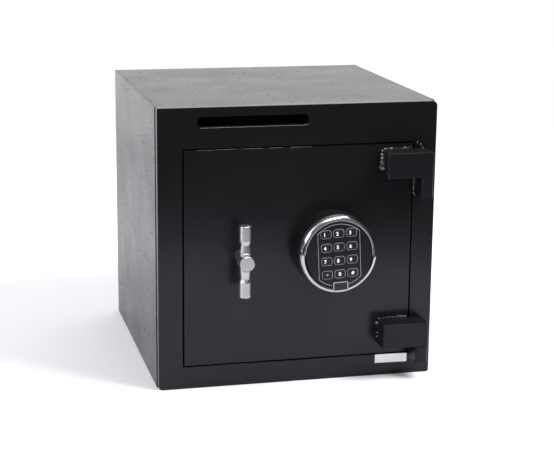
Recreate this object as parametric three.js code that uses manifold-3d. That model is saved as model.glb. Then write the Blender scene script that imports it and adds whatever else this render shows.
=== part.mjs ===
// Front-loading deposit safe: a welded steel box with a letter slot above a flush door,
// a T-handle that throws the locking bolts, and a round electronic keypad.
//
// Millimetres, +Z up. The origin is the centre of the underside, the front faces -Y and
// the door hangs on its right-hand side. At rest the door is closed with its bolts drawn.

import * as THREE from 'three';
import { mergeVertices } from 'three/addons/utils/BufferGeometryUtils.js';
import Module from 'manifold-3d';

const wasm = await Module();
wasm.setup();

// Cabinet
const cabinetWidth = 355.6;
const cabinetDepth = 355.6;
const cabinetHeight = 355.6;
const wallThickness = 4.8;
const frontPlateThickness = 12.7;
const anchorHoleRadius = 7;
const anchorHoleInset = 60;

// Door opening, as the strips of front plate left round it
const leftStrip = 31.3;
const rightStrip = 28.5;
const bottomStrip = 28;
const topStrip = 50.3;
const doorGap = 2;

// Deposit slot and the chute behind it
const slotWidth = 139.7;
const slotHeight = 12.7;
const slotCentreX = -58;
const slotDropFromTop = 18.1;
const chuteSheet = 2;
const chuteSideRoom = 3;
const chuteLipDrop = 2;
const chuteFlangeRoom = 3.85;
const chuteFlatLength = 14;
const chuteRampLength = 44;
const chuteRampSlope = 0.84;
const chuteCheekHeight = 10;
const chuteCheekReach = 2;
const hoodSetback = 50;
const hoodDrop = 24;
const hoodFlangeLength = 14;
const hoodToothCount = 12;
const hoodToothHeight = 6;

// Door stops
const stopThickness = 6.35;
const stopOverlap = 6;
const stopWeldWidth = 10;
const stopEndRoom = 28;

// Hinges: a square bar leaf on the door above a knuckle on the front plate
const hingeBarDepth = 31.75;
const leafLength = 60.2;
const leafHeight = 31.5;
const leafRelief = 3;
const leafBevel = 1.5;
const knuckleWidth = 15.9;
const knuckleRound = 4;
const leafDropFromDoorTop = 6.8;
const leafRiseFromDoorBottom = 15;
const upperKnuckleHeight = 25.4;
const lowerKnuckleHeight = 21.2;
const hingePinRadius = 6.35;
const hingeFaceGap = 0.5;
const leafBoreRoof = 6;

// Bare white label, stuck on a little crooked
const labelWidth = 42;
const labelHeight = 13;
const labelThickness = 0.25;
const labelRoom = 4.3;
const labelCentreZ = 22;
const labelTilt = 0.8;

// Dead bar on the hinge side
const deadBarWidth = 36;
const deadBarThickness = 16;
const deadBarOverlap = 6;
const deadBarRelief = 1.5;
const deadBarEndRoom = 30;

// T-handle
const handleX = -75;
const handleZ = 170;
const hubRadius = 9.2;
const handleReach = 47;
const crossBarReach = 33;
const crossBarLength = 90;
const crossBarRadius = 7.2;
const crossBarNeckRadius = 5.4;
const crossBarRootRadius = 6.8;
const crossBarGripLength = 19;
const crossBarChamfer = 1.2;
const spindleRadius = 6;
const spindleSocketDepth = 20;
const spindleThreadRadius = 4;
const bushingWall = 3;
const bushingFlangeWidth = 2.7;
const bushingFlangeThickness = 1.2;

// Boltwork behind the door
const boltRadius = 9.525;
const boltTravel = 16;
const boltTipInset = 4;
const boltTipReach = 12.5;
const boltTipChamfer = 2;
const boltPitch = 80;
const boltPlay = 1.3;
const boltBarWidth = 20;
const boltBarThickness = 5;
const boltBarEndReach = 20;
const boltBarRoom = 3;
const tongueHeight = 25;
const tongueRise = 3;
const tongueEndReach = 2;
const crankRim = 2.7;
const crankRoom = 1.5;
const crankThickness = 6;
const crankSetback = 7.3;
const crankPinRadius = 4;
const crankPinTail = 1.6;
const crankNutAcrossFlats = 11;
const crankNutHeight = 5;
const guideThickness = 5;
const guideDepth = 27;
const guideEndRoom = 12;
const keeperWidth = 10;
const keeperWall = 4;
const keeperFromCrank = 3;

// Electronic lock behind the door
const hardPlateThickness = 3.3;
const hardPlateMargin = 6;
const lockGap = 0.8;
const lockWidth = 84;
const lockHeight = 61;
const lockDepth = 26;
const lockWall = 2.5;
const lockCoverThickness = 2;
const lockCentreZ = 165;
const lockBoltHeight = 12;
const lockBoltDepth = 10;
const lockBoltTail = 4.8;
const lockBoltShows = 1;
const lockBoltTravel = 12.7;
const lockChannelSetback = 12;
const lockPostRadius = 5;
const lockPostInset = 7;
const lockScrewRadius = 2.3;
const lockScrewHeadRadius = 4.5;
const lockScrewHeadHeight = 3;
const lockScrewInDoor = 8;
const solenoidRadius = 9;
const solenoidLength = 30;

// Round keypad, turned a little anticlockwise on the door
const keypadX = 43.5;
const keypadZ = 172.5;
const keypadTurn = -3;
const housingRadius = 50;
const housingWall = 8.5;
const housingBase = 3;
const housingRim = 3.7;
const seatDepth = 1.1;
const drawerRoof = 2.95;
const boardThickness = 1.6;
const facePlateThickness = 4.6;
const facePocketRoof = 0.7;
const bezelInset = 1;
const bezelWidth = 6.4;
const bezelLip = 1.2;
const bezelRise = 1;
const bezelSkirt = 1.4;
const bezelSteps = 4;
const keyWidth = 12.4;
const keyDepth = 9.6;
const keyCorner = 2.4;
const keySpacingX = 3.9;
const keySpacingZ = 7.6;
const keyGridRise = 2;
const keyRise = 0.9;
const keyTravel = 1;
const keyFlangeMargin = 1.1;
const keyFlangeThickness = 1.2;
const keyClearance = 0.35;
const emblemWidth = 19;
const emblemHeight = 11.5;
const emblemThickness = 1.5;
const emblemInset = 2.8;
const keypadScrewRoom = 3;
const keypadScrewRadius = 2.4;
const keypadScrewHeadRadius = 4.5;
const keypadScrewHeadHeight = 3;
const keypadScrewInDoor = 10;

// Battery drawer
const batteryWidth = 26.5;
const batteryLength = 48.5;
const batteryThickness = 17.5;
const trayWall = 1.6;
const trayEndWall = 4;

// Lead from the keypad's board to the lock
const leadRadius = 2;
const leadHoleRadius = 2.8;
const leadRoom = 2.4;
const leadDropInLock = 7.6;
const leadBend = 8;
const leadSetback = 30;
const leadInsideLock = 8;
const leadPlugSize = 8;
const leadPlugLength = 5;

// Fits shared by every piece that sits in, on or beside another
const seatGap = 0.3;
const slideGap = 0.35;
const roundSides = 32;
const largeRoundSides = 48;
const smallRoundSides = 16;

// Places worked out from the sizes above
const leftX = -cabinetWidth / 2;
const rightX = cabinetWidth / 2;
const frontY = -cabinetDepth / 2;
const backY = cabinetDepth / 2;
const innerLeftX = leftX + wallThickness;
const innerRightX = rightX - wallThickness;
const innerBackY = backY - wallThickness;
const floorTopZ = wallThickness;
const roofUnderZ = cabinetHeight - wallThickness;
const plateBackY = frontY + frontPlateThickness;

const openLeftX = leftX + leftStrip;
const openRightX = rightX - rightStrip;
const openBottomZ = bottomStrip;
const openTopZ = cabinetHeight - topStrip;
const doorLeftX = openLeftX + doorGap;
const doorRightX = openRightX - doorGap;
const doorBottomZ = openBottomZ + doorGap;
const doorTopZ = openTopZ - doorGap;

const slotCentreZ = cabinetHeight - slotDropFromTop;
const slotBottomZ = slotCentreZ - slotHeight / 2;

const hingeX = openRightX + knuckleWidth / 2;
const hingeY = frontY - hingeBarDepth / 2;
const knuckleRightX = openRightX + knuckleWidth;
const leafLeftX = knuckleRightX - leafLength;
const upperLeafBottom = doorTopZ - leafDropFromDoorTop - leafHeight;
const lowerLeafBottom = doorBottomZ + leafRiseFromDoorBottom;
const labelCentreX = openRightX - labelRoom - labelWidth / 2;

const spindleBoreRadius = spindleRadius + seatGap;
const bushingRadius = spindleBoreRadius + bushingWall;

// The crank pin swings from 45 degrees right of straight down to 45 degrees left of it.
const crankThrow = boltTravel / Math.SQRT2;
const crankPinX = handleX + boltTravel / 2;
const crankPinZ = handleZ - boltTravel / 2;
const crankFrontY = plateBackY + crankSetback;
const crankBackY = crankFrontY + crankThickness;

const crankRadius = crankThrow + crankPinRadius + crankRim;

const boltAxisY = plateBackY + boltPlay + boltRadius;
const boltTipX = doorLeftX + boltTipInset;
const boltEndX = handleX - crankRadius - crankRoom;
const boltHeights = [-1, 0, 1].map((step) => handleZ + step * boltPitch);
const guideX = [boltTipX + boltTipReach, boltTipX + boltTipReach + guideThickness];
const boltBarLeftX = guideX[1] + boltTravel + boltBarRoom;
const boltBarRightX = boltBarLeftX + boltBarWidth;
const boltBarFrontY = boltAxisY + boltRadius + seatGap;
const boltBarBackY = boltBarFrontY + boltBarThickness;
const tongueTopZ = handleZ + tongueRise;
const tongueBottomZ = tongueTopZ - tongueHeight;
const crankPinEndY = boltBarBackY + crankPinTail;

const keeperLeftX = handleX + crankRadius + keeperFromCrank;
const keeperRightX = keeperLeftX + keeperWidth;

// The tongue still lies in its keeper when the bolts are thrown.
const tongueRightX = keeperRightX + boltTravel + tongueEndReach;
const lockLeftX = tongueRightX + lockGap + lockBoltShows;
const lockRightX = lockLeftX + lockWidth;
const hardPlateBackY = plateBackY + hardPlateThickness;
const lockBackY = hardPlateBackY + lockDepth;
const lockCoverBackY = lockBackY + lockCoverThickness;
const lockBottomZ = lockCentreZ - lockHeight / 2;
const lockTopZ = lockCentreZ + lockHeight / 2;
const lockBoltZ = (tongueTopZ + tongueBottomZ) / 2;
const lockBoltY = (boltBarFrontY + boltBarBackY) / 2;
const lockScrewPlaces = {
  lock_screw_upper_left: [lockLeftX + lockPostInset, lockTopZ - lockPostInset],
  lock_screw_lower_left: [lockLeftX + lockPostInset, lockBottomZ + lockPostInset],
  lock_screw_lower_right: [lockRightX - lockPostInset, lockBottomZ + lockPostInset],
};

// Keypad heights off the door, each one standing on the one before
const trayBack = seatGap + housingBase + slideGap;
const trayFront = trayBack + trayWall + seatGap + batteryThickness;
const ledgeHeight = trayFront + drawerRoof;
const boardBack = ledgeHeight + seatGap;
const boardFront = boardBack + boardThickness;
const faceBack = boardFront + seatGap;
const housingHeight = faceBack + seatDepth;
const keyFlangeBack = boardFront + keyTravel + seatGap;
const keyFlangeFront = keyFlangeBack + keyFlangeThickness;
const faceFlangeTop = keyFlangeFront + seatGap + facePocketRoof;
const faceHeight = faceFlangeTop + facePlateThickness;
const bezelBack = housingHeight + seatGap;
const bezelRimHeight = bezelBack + bezelSkirt;
const bezelCrown = faceHeight + bezelRise;

// Keypad radii, worked in from the housing
const seatRadius = housingRadius - housingRim;
const bezelRadius = housingRadius - bezelInset;
const bezelInnerRadius = bezelRadius - bezelWidth;
const faceRadius = bezelInnerRadius - seatGap;
const emblemDrop = faceRadius - emblemInset;
const keyPitchX = keyWidth + keySpacingX;
const keyPitchZ = keyDepth + keySpacingZ;

// A point on the turned keypad, as world X and Z, from its across and up distances
function keypadPoint(across, up) {
  const turn = THREE.MathUtils.degToRad(keypadTurn);
  return [
    keypadX + across * Math.cos(turn) + up * Math.sin(turn),
    keypadZ - across * Math.sin(turn) + up * Math.cos(turn),
  ];
}

function keypadPlace([x, z]) {
  const turn = THREE.MathUtils.degToRad(keypadTurn);
  const across = (x - keypadX) * Math.cos(turn) - (z - keypadZ) * Math.sin(turn);
  const up = (x - keypadX) * Math.sin(turn) + (z - keypadZ) * Math.cos(turn);
  return [across, up];
}

// The lead drops down beside the lock's case, as world X and Z and in the turned keypad
const leadPlace = [lockRightX + leadBend + leadRoom, lockTopZ - leadDropInLock];
const leadInKeypad = keypadPlace(leadPlace);
const keypadScrewOffset = housingRadius - housingWall - keypadScrewHeadRadius - keypadScrewRoom;
const keypadScrewAcross = { keypad_screw_left: -keypadScrewOffset, keypad_screw_right: keypadScrewOffset };

// Finishes
const looks = {
  paint: { color: 0x2b2c30, roughness: 0.42, metalness: 0.1 },
  bareSteel: { color: 0x8d9094, roughness: 0.4, metalness: 0.9 },
  zinc: { color: 0xb4b8ba, roughness: 0.35, metalness: 0.9 },
  chrome: { color: 0xd5d7da, roughness: 0.12, metalness: 1 },
  satinChrome: { color: 0xb9bbbf, roughness: 0.28, metalness: 1 },
  brass: { color: 0xb08d4a, roughness: 0.35, metalness: 1 },
  blackPlastic: { color: 0x1c1d20, roughness: 0.45, metalness: 0 },
  keyPlastic: { color: 0x26282c, roughness: 0.5, metalness: 0 },
  board: { color: 0x1d5a36, roughness: 0.5, metalness: 0 },
  paper: { color: 0xe8e8ec, roughness: 0.8, metalness: 0 },
  battery: { color: 0x6f7276, roughness: 0.35, metalness: 0.6 },
  leadSheath: { color: 0x202124, roughness: 0.6, metalness: 0 },
};

const safe = new THREE.Group();
const keypad = new THREE.Group();
keypad.position.set(keypadX, frontY, keypadZ);
keypad.rotation.y = THREE.MathUtils.degToRad(keypadTurn);
safe.add(keypad);

// Closed geometry to a solid that can be cut and joined, turned outside out if it needs it
function toSolid(geometry) {
  geometry.deleteAttribute('normal');
  geometry.deleteAttribute('uv');
  const merged = mergeVertices(geometry, 1e-4);
  const position = merged.attributes.position;
  const index = merged.index.array;
  const corner = [new THREE.Vector3(), new THREE.Vector3(), new THREE.Vector3()];
  const triangles = [];
  let volume = 0;
  for (let i = 0; i < index.length; i += 3) {
    const [a, b, c] = [index[i], index[i + 1], index[i + 2]];
    if (a === b || b === c || c === a) continue;
    triangles.push([a, b, c]);
    corner[0].fromBufferAttribute(position, a);
    corner[1].fromBufferAttribute(position, b);
    corner[2].fromBufferAttribute(position, c);
    volume += corner[0].dot(corner[1].cross(corner[2]));
  }
  if (volume < 0) triangles.forEach((triangle) => triangle.reverse());
  return new wasm.Manifold(new wasm.Mesh({
    numProp: 3,
    vertProperties: new Float32Array(position.array),
    triVerts: new Uint32Array(triangles.flat()),
  }));
}

function toGeometry(solid) {
  const mesh = solid.getMesh();
  const geometry = new THREE.BufferGeometry();
  geometry.setAttribute('position', new THREE.BufferAttribute(mesh.vertProperties, 3));
  geometry.setIndex(new THREE.BufferAttribute(mesh.triVerts, 1));
  geometry.computeVertexNormals();
  return geometry;
}

function addPart(name, solid, look, parent = safe) {
  const part = new THREE.Mesh(toGeometry(solid), new THREE.MeshStandardMaterial(looks[look]));
  part.name = name;
  parent.add(part);
}

// A box between two values on each axis
function block([x0, x1], [y0, y1], [z0, z1]) {
  const geometry = new THREE.BoxGeometry(1, 1, 1);
  const p = geometry.attributes.position;
  for (let i = 0; i < p.count; i += 1) {
    p.setXYZ(i, p.getX(i) > 0 ? x1 : x0, p.getY(i) > 0 ? y1 : y0, p.getZ(i) > 0 ? z1 : z0);
  }
  return toSolid(geometry);
}

// An outline pushed straight along one axis. It is drawn in (y, z), (x, z) or (x, y).
function prism(axis, outline, [low, high], arcSteps = 6) {
  const shape = outline instanceof THREE.Shape
    ? outline
    : new THREE.Shape(outline.map(([a, b]) => new THREE.Vector2(a, b)));
  const settings = { depth: 1, bevelEnabled: false, curveSegments: arcSteps };
  const geometry = new THREE.ExtrudeGeometry(shape, settings);
  const p = geometry.attributes.position;
  for (let i = 0; i < p.count; i += 1) {
    const a = p.getX(i);
    const b = p.getY(i);
    const c = p.getZ(i) > 0.5 ? high : low;
    if (axis === 'x') p.setXYZ(i, c, a, b);
    else if (axis === 'y') p.setXYZ(i, a, c, b);
    else p.setXYZ(i, a, b, c);
  }
  return toSolid(geometry);
}

// A round bar along one axis; the place is the two other coordinates in x, y, z order
function rod(axis, radius, [low, high], [a, b], sides = roundSides) {
  const geometry = new THREE.CylinderGeometry(radius, radius, 1, sides);
  const p = geometry.attributes.position;
  for (let i = 0; i < p.count; i += 1) {
    const along = p.getY(i) > 0 ? high : low;
    const u = p.getX(i);
    const v = p.getZ(i);
    if (axis === 'x') p.setXYZ(i, along, a + u, b + v);
    else if (axis === 'y') p.setXYZ(i, a + u, along, b + v);
    else p.setXYZ(i, a + u, b + v, along);
  }
  return toSolid(geometry);
}

// A profile of (radius, height) points spun about an axis through the place
function turned(axis, profile, [a, b], sides = roundSides) {
  const points = profile.map(([radius, height]) => new THREE.Vector2(radius, height));
  const geometry = new THREE.LatheGeometry(points, sides);
  const p = geometry.attributes.position;
  for (let i = 0; i < p.count; i += 1) {
    const u = p.getX(i);
    const along = p.getY(i);
    const v = p.getZ(i);
    if (axis === 'x') p.setXYZ(i, along, a + u, b + v);
    else if (axis === 'y') p.setXYZ(i, a + u, along, b + v);
    else p.setXYZ(i, a + u, b + v, along);
  }
  return toSolid(geometry);
}

function rectangle([x0, x1], [z0, z1]) {
  return [[x0, z0], [x1, z0], [x1, z1], [x0, z1]];
}

// A rectangle about a centre with round corners
function roundedShape(width, height, radius, x = 0, z = 0) {
  const shape = new THREE.Shape();
  const across = width / 2 - radius;
  const up = height / 2 - radius;
  shape.absarc(x + across, z + up, radius, 0, Math.PI / 2, false);
  shape.absarc(x - across, z + up, radius, Math.PI / 2, Math.PI, false);
  shape.absarc(x - across, z - up, radius, Math.PI, Math.PI * 1.5, false);
  shape.absarc(x + across, z - up, radius, Math.PI * 1.5, Math.PI * 2, false);
  shape.closePath();
  return shape;
}

// A slot with half-round ends
function slotShape(width, height, x, z) {
  const shape = new THREE.Shape();
  const radius = height / 2;
  shape.absarc(x + width / 2 - radius, z, radius, -Math.PI / 2, Math.PI / 2, false);
  shape.absarc(x - width / 2 + radius, z, radius, Math.PI / 2, Math.PI * 1.5, false);
  shape.closePath();
  return shape;
}

// Cabinet walls
function buildWalls() {
  const lengthwise = [plateBackY, backY];
  const across = [innerLeftX, innerRightX];
  addPart('side_plate_left', block([leftX, innerLeftX], lengthwise, [0, cabinetHeight]), 'paint');
  addPart('side_plate_right', block([innerRightX, rightX], lengthwise, [0, cabinetHeight]), 'paint');
  addPart('roof_plate', block(across, lengthwise, [roofUnderZ, cabinetHeight]), 'paint');
  addPart('back_plate', block(across, [innerBackY, backY], [floorTopZ, roofUnderZ]), 'paint');

  let floor = block(across, lengthwise, [0, floorTopZ]);
  for (const x of [leftX + anchorHoleInset, rightX - anchorHoleInset]) {
    for (const y of [frontY + anchorHoleInset, backY - anchorHoleInset]) {
      floor = floor.subtract(rod('z', anchorHoleRadius, [-1, floorTopZ + 1], [x, y], smallRoundSides));
    }
  }
  addPart('floor_plate', floor, 'paint');
}

// Front plate with the door opening and the deposit slot cut through it
function buildFrontPlate() {
  const past = [frontY - 1, plateBackY + 1];
  const plate = block([leftX, rightX], [frontY, plateBackY], [0, cabinetHeight]);
  const opening = block([openLeftX, openRightX], past, [openBottomZ, openTopZ]);
  const slot = prism('y', slotShape(slotWidth, slotHeight, slotCentreX, slotCentreZ), past, 10);
  addPart('front_frame', plate.subtract(opening).subtract(slot), 'paint');
}

// Bent sheet trough that leads an envelope in and down, with its two cheeks
function buildChute() {
  const halfWidth = slotWidth / 2 + chuteSideRoom;
  const inner = [slotCentreX - halfWidth, slotCentreX + halfWidth];
  const outer = [inner[0] - chuteSheet, inner[1] + chuteSheet];
  const lipZ = slotBottomZ - chuteLipDrop;
  const flangeZ = openTopZ + stopWeldWidth + chuteFlangeRoom;
  const bendY = plateBackY + chuteFlatLength;
  const endY = bendY + chuteRampLength;
  const endZ = lipZ - chuteRampLength * chuteRampSlope;
  const hoodY = plateBackY + hoodSetback;
  const ramp = prism('x', [
    [plateBackY, lipZ],
    [plateBackY, flangeZ],
    [plateBackY + chuteSheet, flangeZ],
    [plateBackY + chuteSheet, lipZ - chuteSheet],
    [bendY, lipZ - chuteSheet],
    [endY, endZ - chuteSheet],
    [endY, endZ],
    [bendY, lipZ],
  ], outer);
  const cheekOutline = [
    [plateBackY, roofUnderZ],
    [plateBackY, lipZ - chuteSheet],
    [bendY, lipZ - chuteSheet],
    [endY, endZ - chuteSheet],
    [endY, endZ + chuteCheekHeight],
    [hoodY + chuteSheet + chuteCheekReach, roofUnderZ],
  ];
  const leftCheek = prism('x', cheekOutline, [outer[0], inner[0]]);
  const rightCheek = prism('x', cheekOutline, [inner[1], outer[1]]);
  addPart('chute_trough', ramp.add(leftCheek).add(rightCheek), 'bareSteel');

  // Hanging baffle whose saw teeth catch anything drawn back up the chute
  const bladeLeft = inner[0] + seatGap;
  const bladeRight = inner[1] - seatGap;
  const bladeBottom = roofUnderZ - hoodDrop;
  const pitch = (bladeRight - bladeLeft) / hoodToothCount;
  const outline = [[bladeRight, roofUnderZ], [bladeLeft, roofUnderZ], [bladeLeft, bladeBottom]];
  for (let tooth = 0; tooth < hoodToothCount; tooth += 1) {
    const start = bladeLeft + tooth * pitch;
    outline.push([start + pitch / 2, bladeBottom - hoodToothHeight], [start + pitch, bladeBottom]);
  }
  const blade = prism('y', outline, [hoodY, hoodY + chuteSheet]);
  const flange = block([bladeLeft, bladeRight], [hoodY + chuteSheet - hoodFlangeLength, hoodY + chuteSheet],
    [roofUnderZ - chuteSheet, roofUnderZ]);
  addPart('chute_hood', blade.add(flange), 'bareSteel');
}

// Flat bars welded behind the front plate that the closed door rests against
function buildDoorStops() {
  const across = [doorLeftX + stopEndRoom, doorRightX - stopEndRoom];
  const deep = [plateBackY, plateBackY + stopThickness];
  const upper = [doorTopZ - stopOverlap, openTopZ + stopWeldWidth];
  const lower = [openBottomZ - stopWeldWidth, doorBottomZ + stopOverlap];
  addPart('door_stop_upper', block(across, deep, upper), 'bareSteel');
  addPart('door_stop_lower', block(across, deep, lower), 'bareSteel');
}

// One hinge: knuckle on the front plate, pin, and the leaf on the door above it
function buildHinge(place, leafBottom, knuckleHeight) {
  const knuckleTop = leafBottom - hingeFaceGap;
  const knuckleBottom = knuckleTop - knuckleHeight;
  const leafTop = leafBottom + leafHeight;
  const boreTop = leafTop - leafBoreRoof;
  const axis = [hingeX, hingeY];
  const boreRadius = hingePinRadius + seatGap;
  const outerY = frontY - hingeBarDepth;

  const outline = new THREE.Shape();
  outline.moveTo(openRightX, frontY);
  outline.lineTo(openRightX, outerY + knuckleRound);
  const roundY = outerY + knuckleRound;
  outline.absarc(openRightX + knuckleRound, roundY, knuckleRound, Math.PI, Math.PI * 1.5, false);
  outline.absarc(knuckleRightX - knuckleRound, roundY, knuckleRound, Math.PI * 1.5, Math.PI * 2, false);
  outline.lineTo(knuckleRightX, frontY);
  outline.closePath();
  const knuckle = prism('z', outline, [knuckleBottom, knuckleTop], 4);
  const knuckleBore = rod('z', boreRadius, [knuckleBottom - 1, knuckleTop + 1], axis);
  addPart(`hinge_knuckle_${place}`, knuckle.subtract(knuckleBore), 'paint');
  const pinSpan = [knuckleBottom, boreTop - seatGap];
  addPart(`hinge_pin_${place}`, rod('z', hingePinRadius, pinSpan, axis), 'bareSteel');

  const reliefX = doorRightX - seatGap;
  const reliefY = frontY - leafRelief;
  const leaf = prism('z', [
    [leafLeftX, frontY],
    [leafLeftX, outerY + leafBevel],
    [leafLeftX + leafBevel, outerY],
    [knuckleRightX - leafBevel, outerY],
    [knuckleRightX, outerY + leafBevel],
    [knuckleRightX, reliefY],
    [reliefX, reliefY],
    [reliefX, frontY],
  ], [leafBottom, leafTop]);
  const leafBore = rod('z', boreRadius, [leafBottom - 1, boreTop], axis);
  addPart(`hinge_leaf_${place}`, leaf.subtract(leafBore), 'paint');
}

function buildLabel() {
  const tilted = new THREE.Group();
  tilted.position.set(labelCentreX, 0, labelCentreZ);
  tilted.rotation.y = THREE.MathUtils.degToRad(-labelTilt);
  safe.add(tilted);
  const across = [-labelWidth / 2, labelWidth / 2];
  const up = [-labelHeight / 2, labelHeight / 2];
  const thin = [frontY - seatGap - labelThickness, frontY - seatGap];
  addPart('serial_label', block(across, thin, up), 'paper', tilted);
}

// Door plate, bored for the handle, the lead and the screws
function buildDoor() {
  const past = [frontY - 1, plateBackY + 1];
  let door = block([doorLeftX, doorRightX], [frontY, plateBackY], [doorBottomZ, doorTopZ]);
  door = door.subtract(rod('y', bushingRadius + seatGap, past, [handleX, handleZ]));
  door = door.subtract(rod('y', leadHoleRadius, past, leadPlace, smallRoundSides));
  for (const across of Object.values(keypadScrewAcross)) {
    const bore = rod('y', keypadScrewRadius + seatGap, past, keypadPoint(across, 0), smallRoundSides);
    door = door.subtract(bore);
  }
  const tapped = [plateBackY - lockScrewInDoor - 1, plateBackY + 1];
  for (const place of Object.values(lockScrewPlaces)) {
    door = door.subtract(rod('y', lockScrewRadius + seatGap, tapped, place, smallRoundSides));
  }
  addPart('door_plate', door, 'paint');
}

// Fixed bar that hooks behind the front plate on the hinge side
function buildDeadBar() {
  const hookX = openRightX + deadBarOverlap;
  const reliefX = doorRightX - seatGap;
  const backOfBar = plateBackY + deadBarThickness;
  addPart('dead_bar', prism('z', [
    [hookX - deadBarWidth, plateBackY],
    [reliefX, plateBackY],
    [reliefX, plateBackY + deadBarRelief],
    [hookX, plateBackY + deadBarRelief],
    [hookX, backOfBar],
    [hookX - deadBarWidth, backOfBar],
  ], [doorBottomZ + deadBarEndRoom, doorTopZ - deadBarEndRoom]), 'bareSteel');
}

// T-handle: a straight hub with a turned cross-bar through it, on a steel spindle
function buildHandle() {
  const hubBackY = frontY - bushingFlangeThickness - 2 * seatGap;
  const hubFrontY = frontY - handleReach;
  const hub = turned('y', [
    [0, hubBackY],
    [hubRadius, hubBackY],
    [hubRadius, hubFrontY + 1],
    [hubRadius - 1, hubFrontY],
    [0, hubFrontY],
  ], [handleX, handleZ]);
  const half = crossBarLength / 2;
  const shoulder = half - crossBarGripLength;
  const lower = [
    [0, -half],
    [crossBarRadius - crossBarChamfer, -half],
    [crossBarRadius, crossBarChamfer - half],
    [crossBarRadius, -shoulder],
    [crossBarNeckRadius, -shoulder + (crossBarRadius - crossBarNeckRadius)],
    [crossBarRootRadius, -hubRadius],
  ];
  const upper = lower.map(([radius, height]) => [radius, -height]).reverse();
  const barProfile = [...lower, ...upper].map(([radius, height]) => [radius, height + handleZ]);
  const bar = turned('z', barProfile, [handleX, frontY - crossBarReach]);
  const socketSpan = [hubBackY - spindleSocketDepth, hubBackY + 1];
  const socket = rod('y', spindleBoreRadius, socketSpan, [handleX, handleZ]);
  addPart('handle_tee', hub.add(bar).subtract(socket), 'satinChrome');

  const nutBackY = crankBackY + seatGap + crankNutHeight;
  const shaftEnd = hubBackY - spindleSocketDepth + seatGap;
  addPart('handle_spindle', turned('y', [
    [0, shaftEnd],
    [spindleRadius, shaftEnd],
    [spindleRadius, crankBackY],
    [spindleThreadRadius, crankBackY],
    [spindleThreadRadius, nutBackY],
    [0, nutBackY],
  ], [handleX, handleZ]), 'zinc');

  const flangeY = frontY - seatGap - bushingFlangeThickness;
  addPart('handle_bushing', turned('y', [
    [spindleBoreRadius, flangeY],
    [bushingRadius + bushingFlangeWidth, flangeY],
    [bushingRadius + bushingFlangeWidth, frontY - seatGap],
    [bushingRadius, frontY - seatGap],
    [bushingRadius, plateBackY],
    [spindleBoreRadius, plateBackY],
    [spindleBoreRadius, flangeY],
  ], [handleX, handleZ]), 'brass');
}

// Crank on the spindle whose pin drives the bolt bar
function buildCrank() {
  const disc = rod('y', crankRadius, [crankFrontY, crankBackY], [handleX, handleZ]);
  const bore = rod('y', spindleBoreRadius, [crankFrontY - 1, crankBackY + 1], [handleX, handleZ]);
  const pinSpan = [crankFrontY + crankThickness / 2, crankPinEndY];
  const pin = rod('y', crankPinRadius, pinSpan, [crankPinX, crankPinZ], 24);
  addPart('crank_plate', disc.subtract(bore).add(pin), 'zinc');

  const nutSpan = [crankBackY + seatGap, crankBackY + seatGap + crankNutHeight];
  const nutRadius = crankNutAcrossFlats / Math.sqrt(3);
  const nut = rod('y', nutRadius, nutSpan, [handleX, handleZ], 6);
  const pastNut = [nutSpan[0] - 1, nutSpan[1] + 1];
  const nutBore = rod('y', spindleThreadRadius + seatGap, pastNut, [handleX, handleZ]);
  addPart('crank_nut', nut.subtract(nutBore), 'zinc');
}

// Bolt bar with its tongue and pin slot, and the round bolts it carries
function buildBoltwork() {
  const deep = [boltBarFrontY, boltBarBackY];
  const lowest = boltHeights[0] - boltBarEndReach;
  const highest = boltHeights[boltHeights.length - 1] + boltBarEndReach;
  const strip = block([boltBarLeftX, boltBarRightX], deep, [lowest, highest]);
  const tongue = block([boltBarRightX - 1, tongueRightX], deep, [tongueBottomZ, tongueTopZ]);
  const pinRoom = crankPinRadius + 2 * seatGap;
  const slot = block(
    [crankPinX - pinRoom, crankPinX + pinRoom],
    [boltBarFrontY - 1, boltBarBackY + 1],
    [handleZ - crankThrow - pinRoom, crankPinZ + pinRoom],
  );
  addPart('bolt_bar', strip.add(tongue).subtract(slot), 'zinc');

  const places = ['lower', 'middle', 'upper'];
  boltHeights.forEach((z, i) => {
    addPart(`locking_bolt_${places[i]}`, turned('x', [
      [0, boltTipX],
      [boltRadius - boltTipChamfer, boltTipX],
      [boltRadius, boltTipX + boltTipChamfer],
      [boltRadius, boltEndX],
      [0, boltEndX],
    ], [boltAxisY, z]), 'zinc');
  });

  let guide = block(guideX, [plateBackY, plateBackY + guideDepth],
    [boltHeights[0] - boltRadius - guideEndRoom, boltHeights[2] + boltRadius + guideEndRoom]);
  for (const z of boltHeights) {
    guide = guide.subtract(rod('x', boltRadius + slideGap, [guideX[0] - 1, guideX[1] + 1], [boltAxisY, z]));
  }
  addPart('bolt_guide', guide, 'bareSteel');

  const windowY = [boltBarFrontY - slideGap, boltBarBackY + slideGap];
  const windowZ = [tongueBottomZ - slideGap, tongueTopZ + slideGap];
  const keeper = block([keeperLeftX, keeperRightX], [plateBackY, windowY[1] + keeperWall],
    [windowZ[0] - keeperWall, windowZ[1] + keeperWall]);
  const window = block([keeperLeftX - 1, keeperRightX + 1], windowY, windowZ);
  addPart('tongue_keeper', keeper.subtract(window), 'bareSteel');
}

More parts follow.
